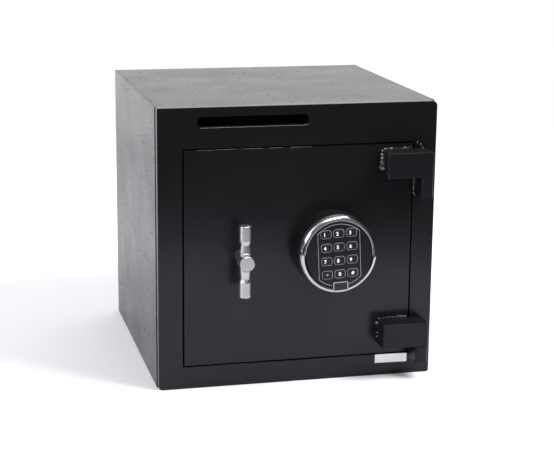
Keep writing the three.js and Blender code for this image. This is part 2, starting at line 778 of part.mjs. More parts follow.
// Hard plate, and the lock bolted over it: case, cover, screws, bolt and solenoid
function buildLock() {
  let hardPlate = block([lockLeftX - hardPlateMargin, leadPlace[0] + 2 * hardPlateMargin],
    [plateBackY, hardPlateBackY], [lockBottomZ - hardPlateMargin, lockTopZ + hardPlateMargin]);
  hardPlate = hardPlate.subtract(
    rod('y', leadHoleRadius, [plateBackY - 1, hardPlateBackY + 1], leadPlace, smallRoundSides));

  const outside = block([lockLeftX, lockRightX], [hardPlateBackY, lockBackY], [lockBottomZ, lockTopZ]);
  const inside = block([lockLeftX + lockWall, lockRightX - lockWall],
    [hardPlateBackY + lockWall, lockBackY + 1], [lockBottomZ + lockWall, lockTopZ - lockWall]);
  let lockCase = outside.subtract(inside);
  let cover = block([lockLeftX, lockRightX], [lockBackY, lockCoverBackY], [lockBottomZ, lockTopZ]);

  // Channel wall that carries the inner end of the lock bolt
  const channelX = lockLeftX + lockChannelSetback;
  const channelReach = lockBoltHeight / 2 + keeperWall;
  lockCase = lockCase.add(block([channelX, channelX + lockWall], [hardPlateBackY + 1, lockBackY - seatGap],
    [lockBoltZ - channelReach, lockBoltZ + channelReach]));
  lockCase = lockCase.subtract(block([lockLeftX - 1, channelX + lockWall + 1],
    [lockBoltY - lockBoltDepth / 2 - slideGap, lockBoltY + lockBoltDepth / 2 + slideGap],
    [lockBoltZ - lockBoltHeight / 2 - slideGap, lockBoltZ + lockBoltHeight / 2 + slideGap]));

  for (const [name, place] of Object.entries(lockScrewPlaces)) {
    const postSpan = [hardPlateBackY + 1, lockBackY];
    const boreSpan = [plateBackY - 1, lockCoverBackY + 1];
    const bore = rod('y', lockScrewRadius + seatGap, boreSpan, place, smallRoundSides);
    lockCase = lockCase.add(rod('y', lockPostRadius, postSpan, place, smallRoundSides)).subtract(bore);
    cover = cover.subtract(bore);
    hardPlate = hardPlate.subtract(bore);
    const headY = lockCoverBackY + seatGap;
    addPart(name, turned('y', [
      [0, plateBackY - lockScrewInDoor],
      [lockScrewRadius, plateBackY - lockScrewInDoor],
      [lockScrewRadius, headY],
      [lockScrewHeadRadius, headY],
      [lockScrewHeadRadius, headY + lockScrewHeadHeight],
      [0, headY + lockScrewHeadHeight],
    ], place, smallRoundSides), 'zinc');
  }

  const leadBore = rod('x', leadHoleRadius, [lockRightX - lockWall - 1, lockRightX + 1],
    [plateBackY - frontPlateThickness + leadSetback, leadPlace[1]], smallRoundSides);
  lockCase = lockCase.subtract(leadBore);
  addPart('hard_plate', hardPlate, 'bareSteel');
  addPart('lock_case', lockCase, 'zinc');
  addPart('lock_cover', cover, 'zinc');

  const boltSpan = [lockLeftX - lockBoltShows, channelX + lockWall + lockBoltTravel + lockBoltTail];
  addPart('lock_bolt', block(boltSpan,
    [lockBoltY - lockBoltDepth / 2, lockBoltY + lockBoltDepth / 2],
    [lockBoltZ - lockBoltHeight / 2, lockBoltZ + lockBoltHeight / 2]), 'brass');

  const solenoidY = hardPlateBackY + lockWall + seatGap + solenoidRadius;
  const solenoidRight = lockRightX - lockWall - lockPostInset;
  addPart('lock_solenoid', rod('x', solenoidRadius, [solenoidRight - solenoidLength, solenoidRight],
    [solenoidY, lockCentreZ], 24), 'battery');
}

// Lead held in the housing, the door and the lock, bent once behind the door
function buildLead() {
  const [x, z] = leadPlace;
  const endY = frontY + leadSetback;
  const startY = frontY - boardBack + leadPlugLength + seatGap;
  const route = new THREE.CurvePath();
  const bendStart = new THREE.Vector3(x, endY - leadBend, z);
  const bendEnd = new THREE.Vector3(x - leadBend, endY, z);
  const end = new THREE.Vector3(lockRightX - leadInsideLock, endY, z);
  route.add(new THREE.LineCurve3(new THREE.Vector3(x, startY, z), bendStart));
  route.add(new THREE.QuadraticBezierCurve3(bendStart, new THREE.Vector3(x, endY, z), bendEnd));
  route.add(new THREE.LineCurve3(bendEnd, end));
  const section = new THREE.Shape();
  section.absarc(0, 0, leadRadius, 0, Math.PI * 2, false);
  const settings = { steps: 24, curveSegments: 4, extrudePath: route };
  addPart('lock_lead', toSolid(new THREE.ExtrudeGeometry(section, settings)), 'leadSheath');
}

// Keypad pieces lie in the turned group: across is X, up is Z, and a height off the
// door is -Y, so a span of heights low to high is [-high, -low].
function heights(low, high) {
  return [-high, -low];
}

function keyPlace(column, row) {
  return [(column - 1) * keyPitchX, keyGridRise + (1.5 - row) * keyPitchZ];
}

function buildKeypadHousing() {
  const centre = [0, 0];
  const base = seatGap + housingBase;
  const trayHalf = batteryWidth / 2 + seatGap + trayWall;
  let housing = rod('y', housingRadius, heights(seatGap, housingHeight), centre, largeRoundSides);
  const cavityRadius = housingRadius - housingWall;
  const cavity = rod('y', cavityRadius, heights(base, housingHeight + 1), centre, largeRoundSides);
  const seat = rod('y', seatRadius, heights(ledgeHeight, housingHeight + 1), centre, largeRoundSides);
  const mouth = block([-trayHalf - slideGap, trayHalf + slideGap],
    heights(base, trayFront + slideGap), [-housingRadius - 1, 0]);
  housing = housing.subtract(cavity).subtract(seat).subtract(mouth);
  housing = housing.subtract(rod('y', leadHoleRadius, heights(-1, base + 1), leadInKeypad, smallRoundSides));
  for (const [name, across] of Object.entries(keypadScrewAcross)) {
    const bore = rod('y', keypadScrewRadius + seatGap, heights(-1, base + 1), [across, 0], smallRoundSides);
    housing = housing.subtract(bore);
    const headLow = base + seatGap;
    addPart(name, turned('y', [
      [0, keypadScrewInDoor],
      [keypadScrewRadius, keypadScrewInDoor],
      [keypadScrewRadius, -headLow],
      [keypadScrewHeadRadius, -headLow],
      [keypadScrewHeadRadius, -headLow - keypadScrewHeadHeight],
      [0, -headLow - keypadScrewHeadHeight],
    ], [across, 0], smallRoundSides), 'zinc', keypad);
  }
  addPart('keypad_housing', housing, 'blackPlastic', keypad);
}

function buildBatteryDrawer() {
  const half = batteryWidth / 2;
  const low = -housingRadius + trayEndWall;
  const high = low + batteryLength + 2 * seatGap;
  const solid = block([-half - seatGap - trayWall, half + seatGap + trayWall], heights(trayBack, trayFront),
    [-housingRadius, high + trayWall]);
  const pocket = block([-half - seatGap, half + seatGap],
    heights(trayBack + trayWall, trayFront + 1), [low, high]);
  const round = rod('y', housingRadius - seatGap, heights(0, housingHeight), [0, 0], largeRoundSides);
  addPart('battery_tray', solid.intersect(round).subtract(pocket), 'blackPlastic', keypad);

  const batteryLow = trayBack + trayWall + seatGap;
  addPart('battery', block([-half, half], heights(batteryLow, batteryLow + batteryThickness),
    [low + seatGap, low + seatGap + batteryLength]), 'battery', keypad);
}

function buildKeypadFront() {
  const centre = [0, 0];
  const board = rod('y', seatRadius - seatGap, heights(boardBack, boardFront), centre, largeRoundSides);
  const [plugX, plugZ] = leadInKeypad;
  const plug = block([plugX - leadPlugSize / 2, plugX + leadPlugSize / 2],
    heights(boardBack - leadPlugLength, boardFront - boardThickness / 2),
    [plugZ - leadPlugSize / 2, plugZ + leadPlugSize / 2]);
  addPart('keypad_board', board.add(plug), 'board', keypad);

  const flangeRadius = seatRadius - seatGap;
  let face = rod('y', faceRadius, heights(faceBack, faceHeight), centre, largeRoundSides);
  face = face.add(rod('y', flangeRadius, heights(faceBack, faceFlangeTop), centre, largeRoundSides));
  for (let row = 0; row < 4; row += 1) {
    for (let column = 0; column < 3; column += 1) {
      const [x, z] = keyPlace(column, row);
      const holeShape = roundedShape(keyWidth + 2 * keyClearance, keyDepth + 2 * keyClearance,
        keyCorner + keyClearance, x, z);
      face = face.subtract(prism('y', holeShape, heights(faceBack - 1, faceHeight + 1), 2));
      const pocketX = keyWidth / 2 + keyFlangeMargin + keyClearance;
      const pocketZ = keyDepth / 2 + keyFlangeMargin + keyClearance;
      face = face.subtract(block([x - pocketX, x + pocketX], heights(faceBack - 1, keyFlangeFront + seatGap),
        [z - pocketZ, z + pocketZ]));
    }
  }
  addPart('keypad_face', face, 'blackPlastic', keypad);

  // Domed chrome ring that holds the face down on the housing
  const domeStart = bezelInnerRadius + bezelLip;
  const dome = [];
  for (let step = 0; step <= bezelSteps; step += 1) {
    const angle = (step / bezelSteps) * (Math.PI / 2);
    dome.push([
      domeStart + (bezelRadius - domeStart) * Math.sin(angle),
      -(bezelRimHeight + (bezelCrown - bezelRimHeight) * Math.cos(angle)),
    ]);
  }
  let bezel = turned('y', [
    [bezelInnerRadius, -(faceFlangeTop + seatGap)],
    [bezelInnerRadius, -(bezelCrown - bezelRise / 2)],
    ...dome,
    [bezelRadius, -bezelBack],
    [seatRadius, -bezelBack],
    [seatRadius, -(faceFlangeTop + seatGap)],
    [bezelInnerRadius, -(faceFlangeTop + seatGap)],
  ], centre, largeRoundSides);
  const emblemAcross = emblemWidth / 2;
  const emblemSpan = [-emblemDrop - emblemHeight / 2, -emblemDrop + emblemHeight / 2];
  bezel = bezel.subtract(block([-emblemAcross - seatGap, emblemAcross + seatGap],
    heights(faceHeight, bezelCrown + 1), [emblemSpan[0] - seatGap, emblemSpan[1]]));
  addPart('keypad_bezel', bezel, 'chrome', keypad);
  const emblemLow = faceHeight + seatGap;
  addPart('emblem_plate', prism('y', roundedShape(emblemWidth, emblemHeight, 1, 0, -emblemDrop),
    heights(emblemLow, emblemLow + emblemThickness), 2), 'satinChrome', keypad);
}

function buildKeys() {
  const names = [['1', '2', '3'], ['4', '5', '6'], ['7', '8', '9'], ['star', '0', 'hash']];
  names.forEach((rowNames, row) => {
    rowNames.forEach((name, column) => {
      const [x, z] = keyPlace(column, row);
      const cap = prism('y', roundedShape(keyWidth, keyDepth, keyCorner, x, z),
        heights(keyFlangeBack, faceHeight + keyRise), 2);
      const flangeX = keyWidth / 2 + keyFlangeMargin;
      const flangeZ = keyDepth / 2 + keyFlangeMargin;
      const flange = block([x - flangeX, x + flangeX], heights(keyFlangeBack, keyFlangeFront),
        [z - flangeZ, z + flangeZ]);
      addPart(`key_${name}`, cap.add(flange), 'keyPlastic', keypad);
    });
  });
}

buildWalls();
buildFrontPlate();
buildChute();
buildDoorStops();
buildHinge('upper', upperLeafBottom, upperKnuckleHeight);
buildHinge('lower', lowerLeafBottom, lowerKnuckleHeight);
buildLabel();
buildDoor();
buildDeadBar();
buildHandle();
buildCrank();
buildBoltwork();
buildLock();
buildLead();
buildKeypadHousing();
buildBatteryDrawer();
buildKeypadFront();
buildKeys();

export default safe;
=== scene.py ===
# %% [markdown]
# A front-loading deposit safe, dressed for a photograph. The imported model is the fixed
# frame: every plate, bolt and key already has its real place and size, in metres.
# This notebook gives each of them its paint, plating or plastic, and makes the shapes
# that are too fine for the frame, such as weld beads, rounded castings and printed lines.

# %% Load the fixed frame
import math

import bmesh
import bpy
from mathutils import Matrix, Vector


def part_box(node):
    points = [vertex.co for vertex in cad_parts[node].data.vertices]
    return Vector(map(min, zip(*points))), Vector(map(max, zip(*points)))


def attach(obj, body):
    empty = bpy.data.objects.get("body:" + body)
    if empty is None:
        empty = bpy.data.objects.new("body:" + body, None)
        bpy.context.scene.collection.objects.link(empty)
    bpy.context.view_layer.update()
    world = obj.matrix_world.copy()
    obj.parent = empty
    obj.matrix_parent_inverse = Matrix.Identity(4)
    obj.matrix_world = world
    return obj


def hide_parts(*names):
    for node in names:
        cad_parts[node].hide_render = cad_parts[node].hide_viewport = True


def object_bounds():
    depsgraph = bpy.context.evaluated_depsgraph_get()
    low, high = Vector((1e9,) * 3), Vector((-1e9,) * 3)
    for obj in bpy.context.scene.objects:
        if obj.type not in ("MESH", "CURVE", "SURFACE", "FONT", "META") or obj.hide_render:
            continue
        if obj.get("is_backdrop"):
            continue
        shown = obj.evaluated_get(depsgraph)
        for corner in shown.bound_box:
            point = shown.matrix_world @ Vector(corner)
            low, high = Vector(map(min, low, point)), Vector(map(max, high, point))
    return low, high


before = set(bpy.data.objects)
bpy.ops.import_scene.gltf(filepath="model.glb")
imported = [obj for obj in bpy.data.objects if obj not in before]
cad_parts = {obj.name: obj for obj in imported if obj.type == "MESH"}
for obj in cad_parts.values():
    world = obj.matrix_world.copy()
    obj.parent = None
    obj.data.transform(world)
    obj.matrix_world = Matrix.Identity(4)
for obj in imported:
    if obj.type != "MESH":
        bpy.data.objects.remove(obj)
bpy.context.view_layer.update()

# %% [markdown]
# The safe's sizes are written in millimetres, because that is how a safe is drawn.
# Blender works in metres, and so does the studio round the safe. Colours are written as
# hex values, and one function turns them into the linear light that shaders add up.

# %% Units, colours and nodes
MM = 0.001
scene = bpy.context.scene


def linear(code):
    """The linear RGBA colour of an sRGB hex code such as '#1b1c1f'."""
    shares = [int(code[i:i + 2], 16) / 255 for i in (1, 3, 5)]
    return tuple(c / 12.92 if c <= 0.04045 else ((c + 0.055) / 1.055) ** 2.4 for c in shares) + (1.0,)


def add_node(tree, kind, links=None, inputs=None, **settings):
    """Add a node: links feed its sockets, inputs are plain values, settings its properties.

    A link comes from an output, or from a node, which stands for its first output.
    """
    node = tree.nodes.new(kind)
    for key, value in settings.items():
        setattr(node, key, value)
    for key, value in (inputs or {}).items():
        node.inputs[key].default_value = value
    for key, source in (links or {}).items():
        output = source.outputs[0] if isinstance(source, bpy.types.Node) else source
        tree.links.new(output, node.inputs[key])
    return node


print("one drawing unit is", MM, "m")

# %% [markdown]
# The camera stands a little left of the safe and above it, on a long lens. Its place and
# turn come from fitting the cube's edges, so the same corner falls on the same spot.
# A camera looks along its own -Z, so its third column is the direction back to it.

# %% Camera
IMAGE_WIDTH = 554
FOCAL_PIXELS = 1481.6
CAMERA_PLACE = Vector((-461.2, -1911.4, 634.0)) * MM
azimuth, elevation, roll = (math.radians(angle) for angle in (-14.049, 13.474, 0.612))
back = Vector((
    math.sin(azimuth) * math.cos(elevation),
    -math.cos(azimuth) * math.cos(elevation),
    math.sin(elevation),
))
level = (-back).cross(Vector((0, 0, 1))).normalized()
upright = level.cross(-back)
across = math.cos(roll) * level + math.sin(roll) * upright
above = math.cos(roll) * upright - math.sin(roll) * level
camera_data = bpy.data.cameras.new("camera")
camera_data.sensor_width = 36
camera_data.lens = FOCAL_PIXELS * camera_data.sensor_width / IMAGE_WIDTH
camera = bpy.data.objects.new("camera", camera_data)
scene.collection.objects.link(camera)
camera.matrix_world = Matrix.Translation(CAMERA_PLACE) @ Matrix((across, above, back)).transposed().to_4x4()
scene.camera = camera
print("camera", round(camera_data.lens, 1), "mm lens,", round(CAMERA_PLACE.length, 2), "m away")

# %% [markdown]
# Black enamel has almost no colour of its own: what the eye sees is the room in it.
# So the room is built first. A pale floor ends a little in front of the safe, because the
# door mirrors what lies before it, and there the picture has to fall off to dark.
# A soft box on the right throws the soft shadows to the left.

# %% Studio
FLOOR_FRONT, FLOOR_BACK, FLOOR_LEFT, FLOOR_NEAR_LEFT, FLOOR_NEAR_RIGHT = 0.92, 1.7, 1.9, 1.1, 0.6
floor_mesh = bpy.data.meshes.new("floor")
disc = bmesh.new()
bmesh.ops.create_circle(disc, cap_ends=True, segments=96, radius=1.0)
for vertex in disc.verts:
    x, y, z = vertex.co
    reach = FLOOR_LEFT if y > 0 else (FLOOR_NEAR_RIGHT if x > 0 else FLOOR_NEAR_LEFT)
    vertex.co = Vector((x * reach, y * (FLOOR_BACK if y > 0 else FLOOR_FRONT), 0))
disc.to_mesh(floor_mesh)
disc.free()
floor = bpy.data.objects.new("floor", floor_mesh)
scene.collection.objects.link(floor)
floor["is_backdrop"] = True
floor_paint = bpy.data.materials.new("pale_floor")
floor_paint.use_nodes = True
floor_shader = floor_paint.node_tree.nodes["Principled BSDF"]
floor_shader.inputs["Base Color"].default_value = linear("#fafafc")
floor_shader.inputs["Roughness"].default_value = 0.9
floor_shader.inputs["Specular IOR Level"].default_value = 0.2
floor_mesh.materials.append(floor_paint)

studio = bpy.data.worlds.new("studio")
studio.use_nodes = True
scene.world = studio
sky = studio.node_tree
sky.nodes.clear()
towards = add_node(sky, "ShaderNodeTexCoord")
axes = add_node(sky, "ShaderNodeSeparateXYZ", {"Vector": towards.outputs["Generated"]})
EAST, NORTH, HEIGHT = range(3)
# Each share of the room's brightness follows an axis: where it starts and stops changing, and both levels
room_shares = {
    "behind": (NORTH, -0.6, 0.3, 0.35, 1.08),
    "right side": (EAST, 0.5, 0.8, 1.0, 0.12),
    "left wall": (EAST, -0.8, -0.55, 3.0, 1.0),
    "horizon": (HEIGHT, 0.0, 0.16, 1.3, 1.0),
    "ceiling": (HEIGHT, 0.5, 0.9, 1.0, 1.35),
    "above the lens": (HEIGHT, -0.02, 0.25, 0.07, 1.0),
    "front": (NORTH, -0.5, 0.2, 1.0, 0.0),
}
share = {
    name: add_node(sky, "ShaderNodeMapRange", {"Value": axes.outputs[axis]},
                   {"From Min": start, "From Max": end, "To Min": low, "To Max": high})
    for name, (axis, start, end, low, high) in room_shares.items()
}
brightness = add_node(sky, "ShaderNodeMix", {0: share["front"], 3: share["above the lens"]}, {2: 1.0})
for name in ("behind", "right side", "left wall", "horizon", "ceiling"):
    brightness = add_node(sky, "ShaderNodeMath", {0: brightness, 1: share[name]}, operation="MULTIPLY")
room = add_node(sky, "ShaderNodeBackground", {"Strength": brightness}, {"Color": (1.0, 0.995, 1.03, 1)})
backdrop = add_node(sky, "ShaderNodeBackground", None, {"Color": (1, 1, 1, 1), "Strength": 1.0})
rays = add_node(sky, "ShaderNodeLightPath")
seen = add_node(sky, "ShaderNodeMixShader",
                {0: rays.outputs["Is Camera Ray"], 1: room, 2: backdrop})
add_node(sky, "ShaderNodeOutputWorld", {"Surface": seen})


def panel(name, place, target, width, height, watts, reflections_only=False):
    """Set up a rectangular soft light at a place, turned to a target. Lengths are in metres."""
    data = bpy.data.lights.new(name, "AREA")
    data.shape = "RECTANGLE"
    data.size, data.size_y, data.energy = width, height, watts
    lamp = bpy.data.objects.new(name, data)
    scene.collection.objects.link(lamp)
    lamp.location = place
    lamp.rotation_euler = (Vector(target) - Vector(place)).to_track_quat("-Z", "Y").to_euler()
    lamp.visible_diffuse = not reflections_only
    lamp.visible_glossy = reflections_only
    lamp.visible_camera = False


panel("floor_soft_box", (1.1, -0.9, 1.5), (0, -0.1, 0.1), 0.9, 0.9, 40)
panel("overhead_strip", (0.22, -0.5, 1.4), (0, -0.2, 0.2), 1.4, 0.42, 28, reflections_only=True)
AT_KEYPAD = (0.04, -0.2, 0.17)
panel("front_window", (0.18, -1.09, 1.23), AT_KEYPAD, 0.5, 0.55, 6, reflections_only=True)
panel("left_card", (-0.81, -1.11, 0.54), AT_KEYPAD, 0.36, 0.36, 2, reflections_only=True)
scene.view_settings.view_transform = "Standard"
print("studio: floor, four panels and a pale room that darkens towards the lens")

# %% [markdown]
# Gloss black enamel, brushed or sprayed over a ground steel box. The clear binder has a
# low index, so a face seen square on is nearly black and one seen along its surface
# turns pale. Long waves come from the ground plate, orange peel from the spray, and
# the nibs are dust that dried in the film. Real peel is about 2 mm across. It is drawn
# at 5 mm so that it shows from two metres away.


# %% Enamel
def principled(name, code, roughness, metallic=0.0, ior=None):
    """A new material and the parts of it that patterns are wired to."""
    material = bpy.data.materials.new(name)
    material.use_nodes = True
    tree = material.node_tree
    shader = tree.nodes["Principled BSDF"]
    shader.inputs["Base Color"].default_value = linear(code)
    shader.inputs["Roughness"].default_value = roughness
    shader.inputs["Metallic"].default_value = metallic
    if ior:
        shader.inputs["IOR"].default_value = ior
    place = add_node(tree, "ShaderNodeTexCoord").outputs["Object"]
    return material, tree, shader, place


WAVE_WIDTH, PEEL_WIDTH, NIB_SPACING, RUB_WIDTH = 45, 5, 10, 70
NIB_TOP, NIB_FOOT = 0.03, 0.16
# Nibs are drawn coarser than real dust, and twice as long in depth, so that they show on the flat roof
NIB_STRETCH = 0.5
NIB_ROUGHNESS, RUB_ROUGHNESS = 0.25, 0.03
# Nearly all of a noise pattern's values lie between these two
CLOUD_LOW, CLOUD_HIGH = 0.3, 0.7


def enamel(name, roughness, nib_share, wave_height=0.05, peel_height=0.02, nib_height=1.3,
           tint="#ffffff", ior=1.35, code="#161617"):
    """Gloss black enamel with waves, peel and dust nibs. Heights are in millimetres."""
    material, tree, shader, place = principled(name, code, roughness, ior=ior)
    # A tint other than white colours the reflections: painted colour of light, since real enamel reflects the
    # room unchanged
    shader.inputs["Specular Tint"].default_value = linear(tint)
    waves, peel, rub = (
        add_node(tree, "ShaderNodeTexNoise", {"Vector": place}, {"Scale": 1 / (width * MM), "Detail": detail})
        for width, detail in ((WAVE_WIDTH, 1.0), (PEEL_WIDTH, 2.0), (RUB_WIDTH, 4.0)))
    drawn_out = add_node(tree, "ShaderNodeMapping", {"Vector": place}, {"Scale": (1, NIB_STRETCH, 1)})
    cells = add_node(tree, "ShaderNodeTexVoronoi", {"Vector": drawn_out},
                     {"Scale": 1 / (NIB_SPACING * MM)})
    heap = add_node(tree, "ShaderNodeMapRange", {"Value": cells.outputs["Distance"]},
                    {"From Min": NIB_TOP, "From Max": NIB_FOOT, "To Min": 1.0, "To Max": 0.0})
    luck = add_node(tree, "ShaderNodeSeparateColor", {"Color": cells.outputs["Color"]})
    chosen = add_node(tree, "ShaderNodeMath", {0: luck}, {1: nib_share}, operation="LESS_THAN")
    nibs = add_node(tree, "ShaderNodeMath", {0: heap, 1: chosen}, operation="MULTIPLY")
    normal = None
    for height, size in ((waves, wave_height), (peel, peel_height), (nibs, nib_height)):
        links = {"Height": height}
        if normal:
            links["Normal"] = normal
        normal = add_node(tree, "ShaderNodeBump", links, {"Strength": 1.0, "Distance": size * MM}).outputs[0]
    tree.links.new(normal, shader.inputs["Normal"])
    dull = add_node(tree, "ShaderNodeMapRange", {"Value": rub}, {
        "From Min": CLOUD_LOW, "From Max": CLOUD_HIGH,
        "To Min": roughness - RUB_ROUGHNESS, "To Max": roughness + RUB_ROUGHNESS})
    blunt = add_node(tree, "ShaderNodeMath", {0: nibs, 2: dull}, {1: NIB_ROUGHNESS},
                     operation="MULTIPLY_ADD")
    tree.links.new(blunt.outputs[0], shader.inputs["Roughness"])
    return material


box_enamel = enamel("gloss_enamel_on_box", 0.26, 0.9, ior=1.33)
# The sides take a copy of the box enamel with a lower index, so they reflect less and read darker than the
# roof: painted shade, since the real paint is one
shaded_side_enamel = enamel("gloss_enamel_on_sides_with_painted_shade", 0.26, 0.9, ior=1.255)
# The door and the hinge bars reflect through a cool blue tint: a painted cool cast of light, not a colour of
# the paint
door_enamel = enamel("gloss_enamel_on_door", 0.22, 0.05, wave_height=0.04, peel_height=0.012,
                     nib_height=0.25, tint="#e9eeff")
weld_enamel = enamel("thick_enamel_on_welds", 0.06, 0.0, wave_height=0.0, peel_height=0.15, ior=1.85)
# The hinge bars carry the same painted cool tint in their reflections as the door
bar_enamel = enamel("brushed_enamel_on_hinges", 0.34, 0.05, wave_height=0.04, peel_height=0.03,
                    nib_height=0.25, tint="#e9eeff", ior=1.28, code="#161618")
# The chute's enamel is darker and duller than the box's, so the inside of the slot reads black: real black
# paint, darkened further as painted shade
chute_enamel_with_painted_shade = enamel("dull_enamel_with_painted_shade_in_chute", 0.7, 0.0, code="#08080a")
print("six enamels, from the box to the chute")

# %% [markdown]
# The metals keep their default index, since a metal's reflection comes from its colour.
# Each gets the marks of how it was made: a tumbled casting is evenly grey, a plated
# sheet shows faint clouds, and a turned bar has fine rings along its length.


# %% Metals
BRIGHTEST, DULLEST = 0.85, 1.2


def grained(name, code, roughness, grain, detail, cloud_width, cloud_share, stretch=(1, 1, 1), **kind):
    """A material with a fine grain, given as (width, height) in millimetres, and soft clouds in its tone."""
    material, tree, shader, place = principled(name, code, roughness, **kind)
    mapping = add_node(tree, "ShaderNodeMapping", {"Vector": place}, {"Scale": stretch})
    fine = add_node(tree, "ShaderNodeTexNoise", {"Vector": mapping},
                    {"Scale": 1 / (grain[0] * MM), "Detail": detail})
    bump = add_node(tree, "ShaderNodeBump", {"Height": fine},
                    {"Strength": 1.0, "Distance": grain[1] * MM})
    tree.links.new(bump.outputs[0], shader.inputs["Normal"])
    cloud = add_node(tree, "ShaderNodeTexNoise", {"Vector": place},
                     {"Scale": 1 / (cloud_width * MM), "Detail": 3.0})
    tone = linear(code)
    second = tuple(min(1.0, c * cloud_share) for c in tone[:3]) + (1.0,)
    tint = add_node(tree, "ShaderNodeMix", {0: cloud}, {6: tone, 7: second}, data_type="RGBA")
    tree.links.new(tint.outputs[2], shader.inputs["Base Color"])
    return material, tree, shader, cloud


def metal(name, code, roughness, grain_width, grain_height, stretch=(1, 1, 1)):
    """A metal with its grain drawn out along an axis by stretch, and duller and brighter clouds."""
    material, tree, shader, cloud = grained(
        name, code, roughness, (grain_width, grain_height), detail=3.0, cloud_width=14, cloud_share=0.82,
        stretch=stretch, metallic=1.0)
    dull = add_node(tree, "ShaderNodeMapRange", {"Value": cloud}, {
        "From Min": CLOUD_LOW, "From Max": CLOUD_HIGH,
        "To Min": roughness * BRIGHTEST, "To Max": roughness * DULLEST})
    tree.links.new(dull.outputs[0], shader.inputs["Roughness"])
    return material


satin_casting = metal("tumbled_nickel_casting", "#b9b9bd", 0.34, 0.9, 0.012)
ring_chrome = metal("polished_chrome", "#b6b8bb", 0.1, 3.0, 0.004)
turned_steel = metal("turned_steel_bar", "#a3a19c", 0.32, 0.8, 0.01, stretch=(0.08, 1, 1))
mill_steel = metal("oiled_mill_steel", "#6f6c68", 0.45, 3.0, 0.03)
bright_zinc = metal("bright_zinc_plate", "#b4b8bd", 0.33, 2.2, 0.015)
cast_zinc = metal("die_cast_zinc", "#9a9da1", 0.48, 1.2, 0.03)
tinned_can = metal("tinned_can", "#b9bcc2", 0.28, 4.0, 0.006)
print("seven metals, from the T-handle's casting to the solenoid's can")

# %% [markdown]
# The plastics and papers are not metals: they scatter light under the surface and keep
# a plain index near 1.5. Moulded ABS carries a fine spark-eroded texture, so it looks
# darker and softer than the enamel beside it.


# %% Plastics, print and paper
def plastic(name, code, roughness, grain_width, grain_height, ior=1.5):
    """A moulded plastic, rubber, paint line or paper with a fine even texture."""
    return grained(name, code, roughness, (grain_width, grain_height), detail=2.0, cloud_width=9,
                   cloud_share=1.15, ior=ior)[0]


housing_abs = plastic("moulded_abs_housing", "#0e0f11", 0.36, 0.7, 0.01)
ring_groove = plastic("black_groove_in_ring", "#060607", 0.5, 0.7, 0.01, ior=1.4)
face_abs = plastic("satin_abs_face", "#08090c", 0.3, 0.6, 0.006, ior=1.33)
key_rubber = plastic("moulded_key_caps", "#0c0e12", 0.34, 0.6, 0.006, ior=1.38)
silver_print = plastic("silver_pad_print", "#a9adb4", 0.4, 0.5, 0.004)
white_print = plastic("white_pad_print", "#eef0f4", 0.5, 0.5, 0.004)
label_paper = plastic("coated_label_paper", "#f6f7fb", 0.55, 0.5, 0.006)
glass_board = plastic("green_fibreglass_board", "#1d4a2c", 0.35, 0.8, 0.01)
lead_pvc = plastic("pvc_lead_sheath", "#2a2b2d", 0.5, 0.6, 0.006)
emblem_enamel = plastic("dark_badge_enamel", "#0e0f12", 0.25, 1.5, 0.004, ior=1.4)
battery_wrap = plastic("battery_wrap", "#3a3f47", 0.3, 2.0, 0.004)
print("eleven plastics, prints and papers")

# %% [markdown]
# A real edge is never razor sharp: plate is sheared and ground, plastic has a radius.
# Where a solid's shape is already right it stays, and three modifiers finish it. A small
# Geometry Nodes tree joins its loose triangles and marks creases, Decimate melts flat
# facets into one face, and Bevel rounds every crease by its real width.

# %% Finishing a solid that stays
CREASE = math.radians(30)
FLAT = math.radians(0.5)
SAME_PLACE = 0.002 * MM


def new_tree(name, inputs):
    """Start a Geometry Nodes tree. Gives the tree, its input node and its named inputs."""
    tree = bpy.data.node_groups.new(name, "GeometryNodeTree")
    tree.interface.new_socket("Geometry", in_out="INPUT", socket_type="NodeSocketGeometry")
    sockets = {
        key: tree.interface.new_socket(key, in_out="INPUT", socket_type="NodeSocket" + kind)
        for key, kind in inputs.items()
    }
    tree.interface.new_socket("Geometry", in_out="OUTPUT", socket_type="NodeSocketGeometry")
    return tree, add_node(tree, "NodeGroupInput"), sockets


crease_tree, source, crease_inputs = new_tree("join_and_crease", {"Crease Angle": "Float"})
merged = add_node(crease_tree, "GeometryNodeMergeByDistance", {"Geometry": source},
                  {"Distance": SAME_PLACE})
plain = add_node(crease_tree, "GeometryNodeRemoveAttribute", {"Geometry": merged},
                 {"Name": "custom_normal"})
smooth = add_node(crease_tree, "GeometryNodeSetShadeSmooth", {"Geometry": plain},
                  {"Shade Smooth": True})
turn = add_node(crease_tree, "GeometryNodeInputMeshEdgeAngle")
steep = add_node(crease_tree, "FunctionNodeCompare", {0: turn, 1: source.outputs[1]},
                 data_type="FLOAT", operation="GREATER_THAN")
creased = add_node(crease_tree, "GeometryNodeSetShadeSmooth",
                   {"Geometry": smooth, "Selection": steep},
                   {"Shade Smooth": False}, domain="EDGE")
add_node(crease_tree, "NodeGroupOutput", {0: creased})


def dress(material, edge, *nodes):
    """Give solids of the frame their finish, with their creases rounded by edge millimetres."""
    for node in nodes:
        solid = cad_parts[node]
        join = solid.modifiers.new("join", "NODES")
        join.node_group = crease_tree
        join[crease_inputs["Crease Angle"].identifier] = CREASE
        flat = solid.modifiers.new("flat", "DECIMATE")
        flat.decimate_type = "DISSOLVE"
        flat.angle_limit = FLAT
        soft = solid.modifiers.new("soft", "BEVEL")
        soft.width = edge * MM
        soft.segments = 2
        soft.limit_method = "ANGLE"
        soft.angle_limit = CREASE
        soft.harden_normals = True
        for place in solid.material_slots:
            place.material = material


print("crease tree with", len(crease_tree.nodes), "nodes")

# %% [markdown]
# A new piece is a plain mesh that rides on a body of the frame, such as the door. One
# function names it, smooths it between its creases, gives it its finish and hides the
# solids it stands for. Normals are recalculated after joining, so faces point outwards.


# %% Making a new piece
SAME_POINT = 0.0005 * MM
ALONG_AXIS = 0.99


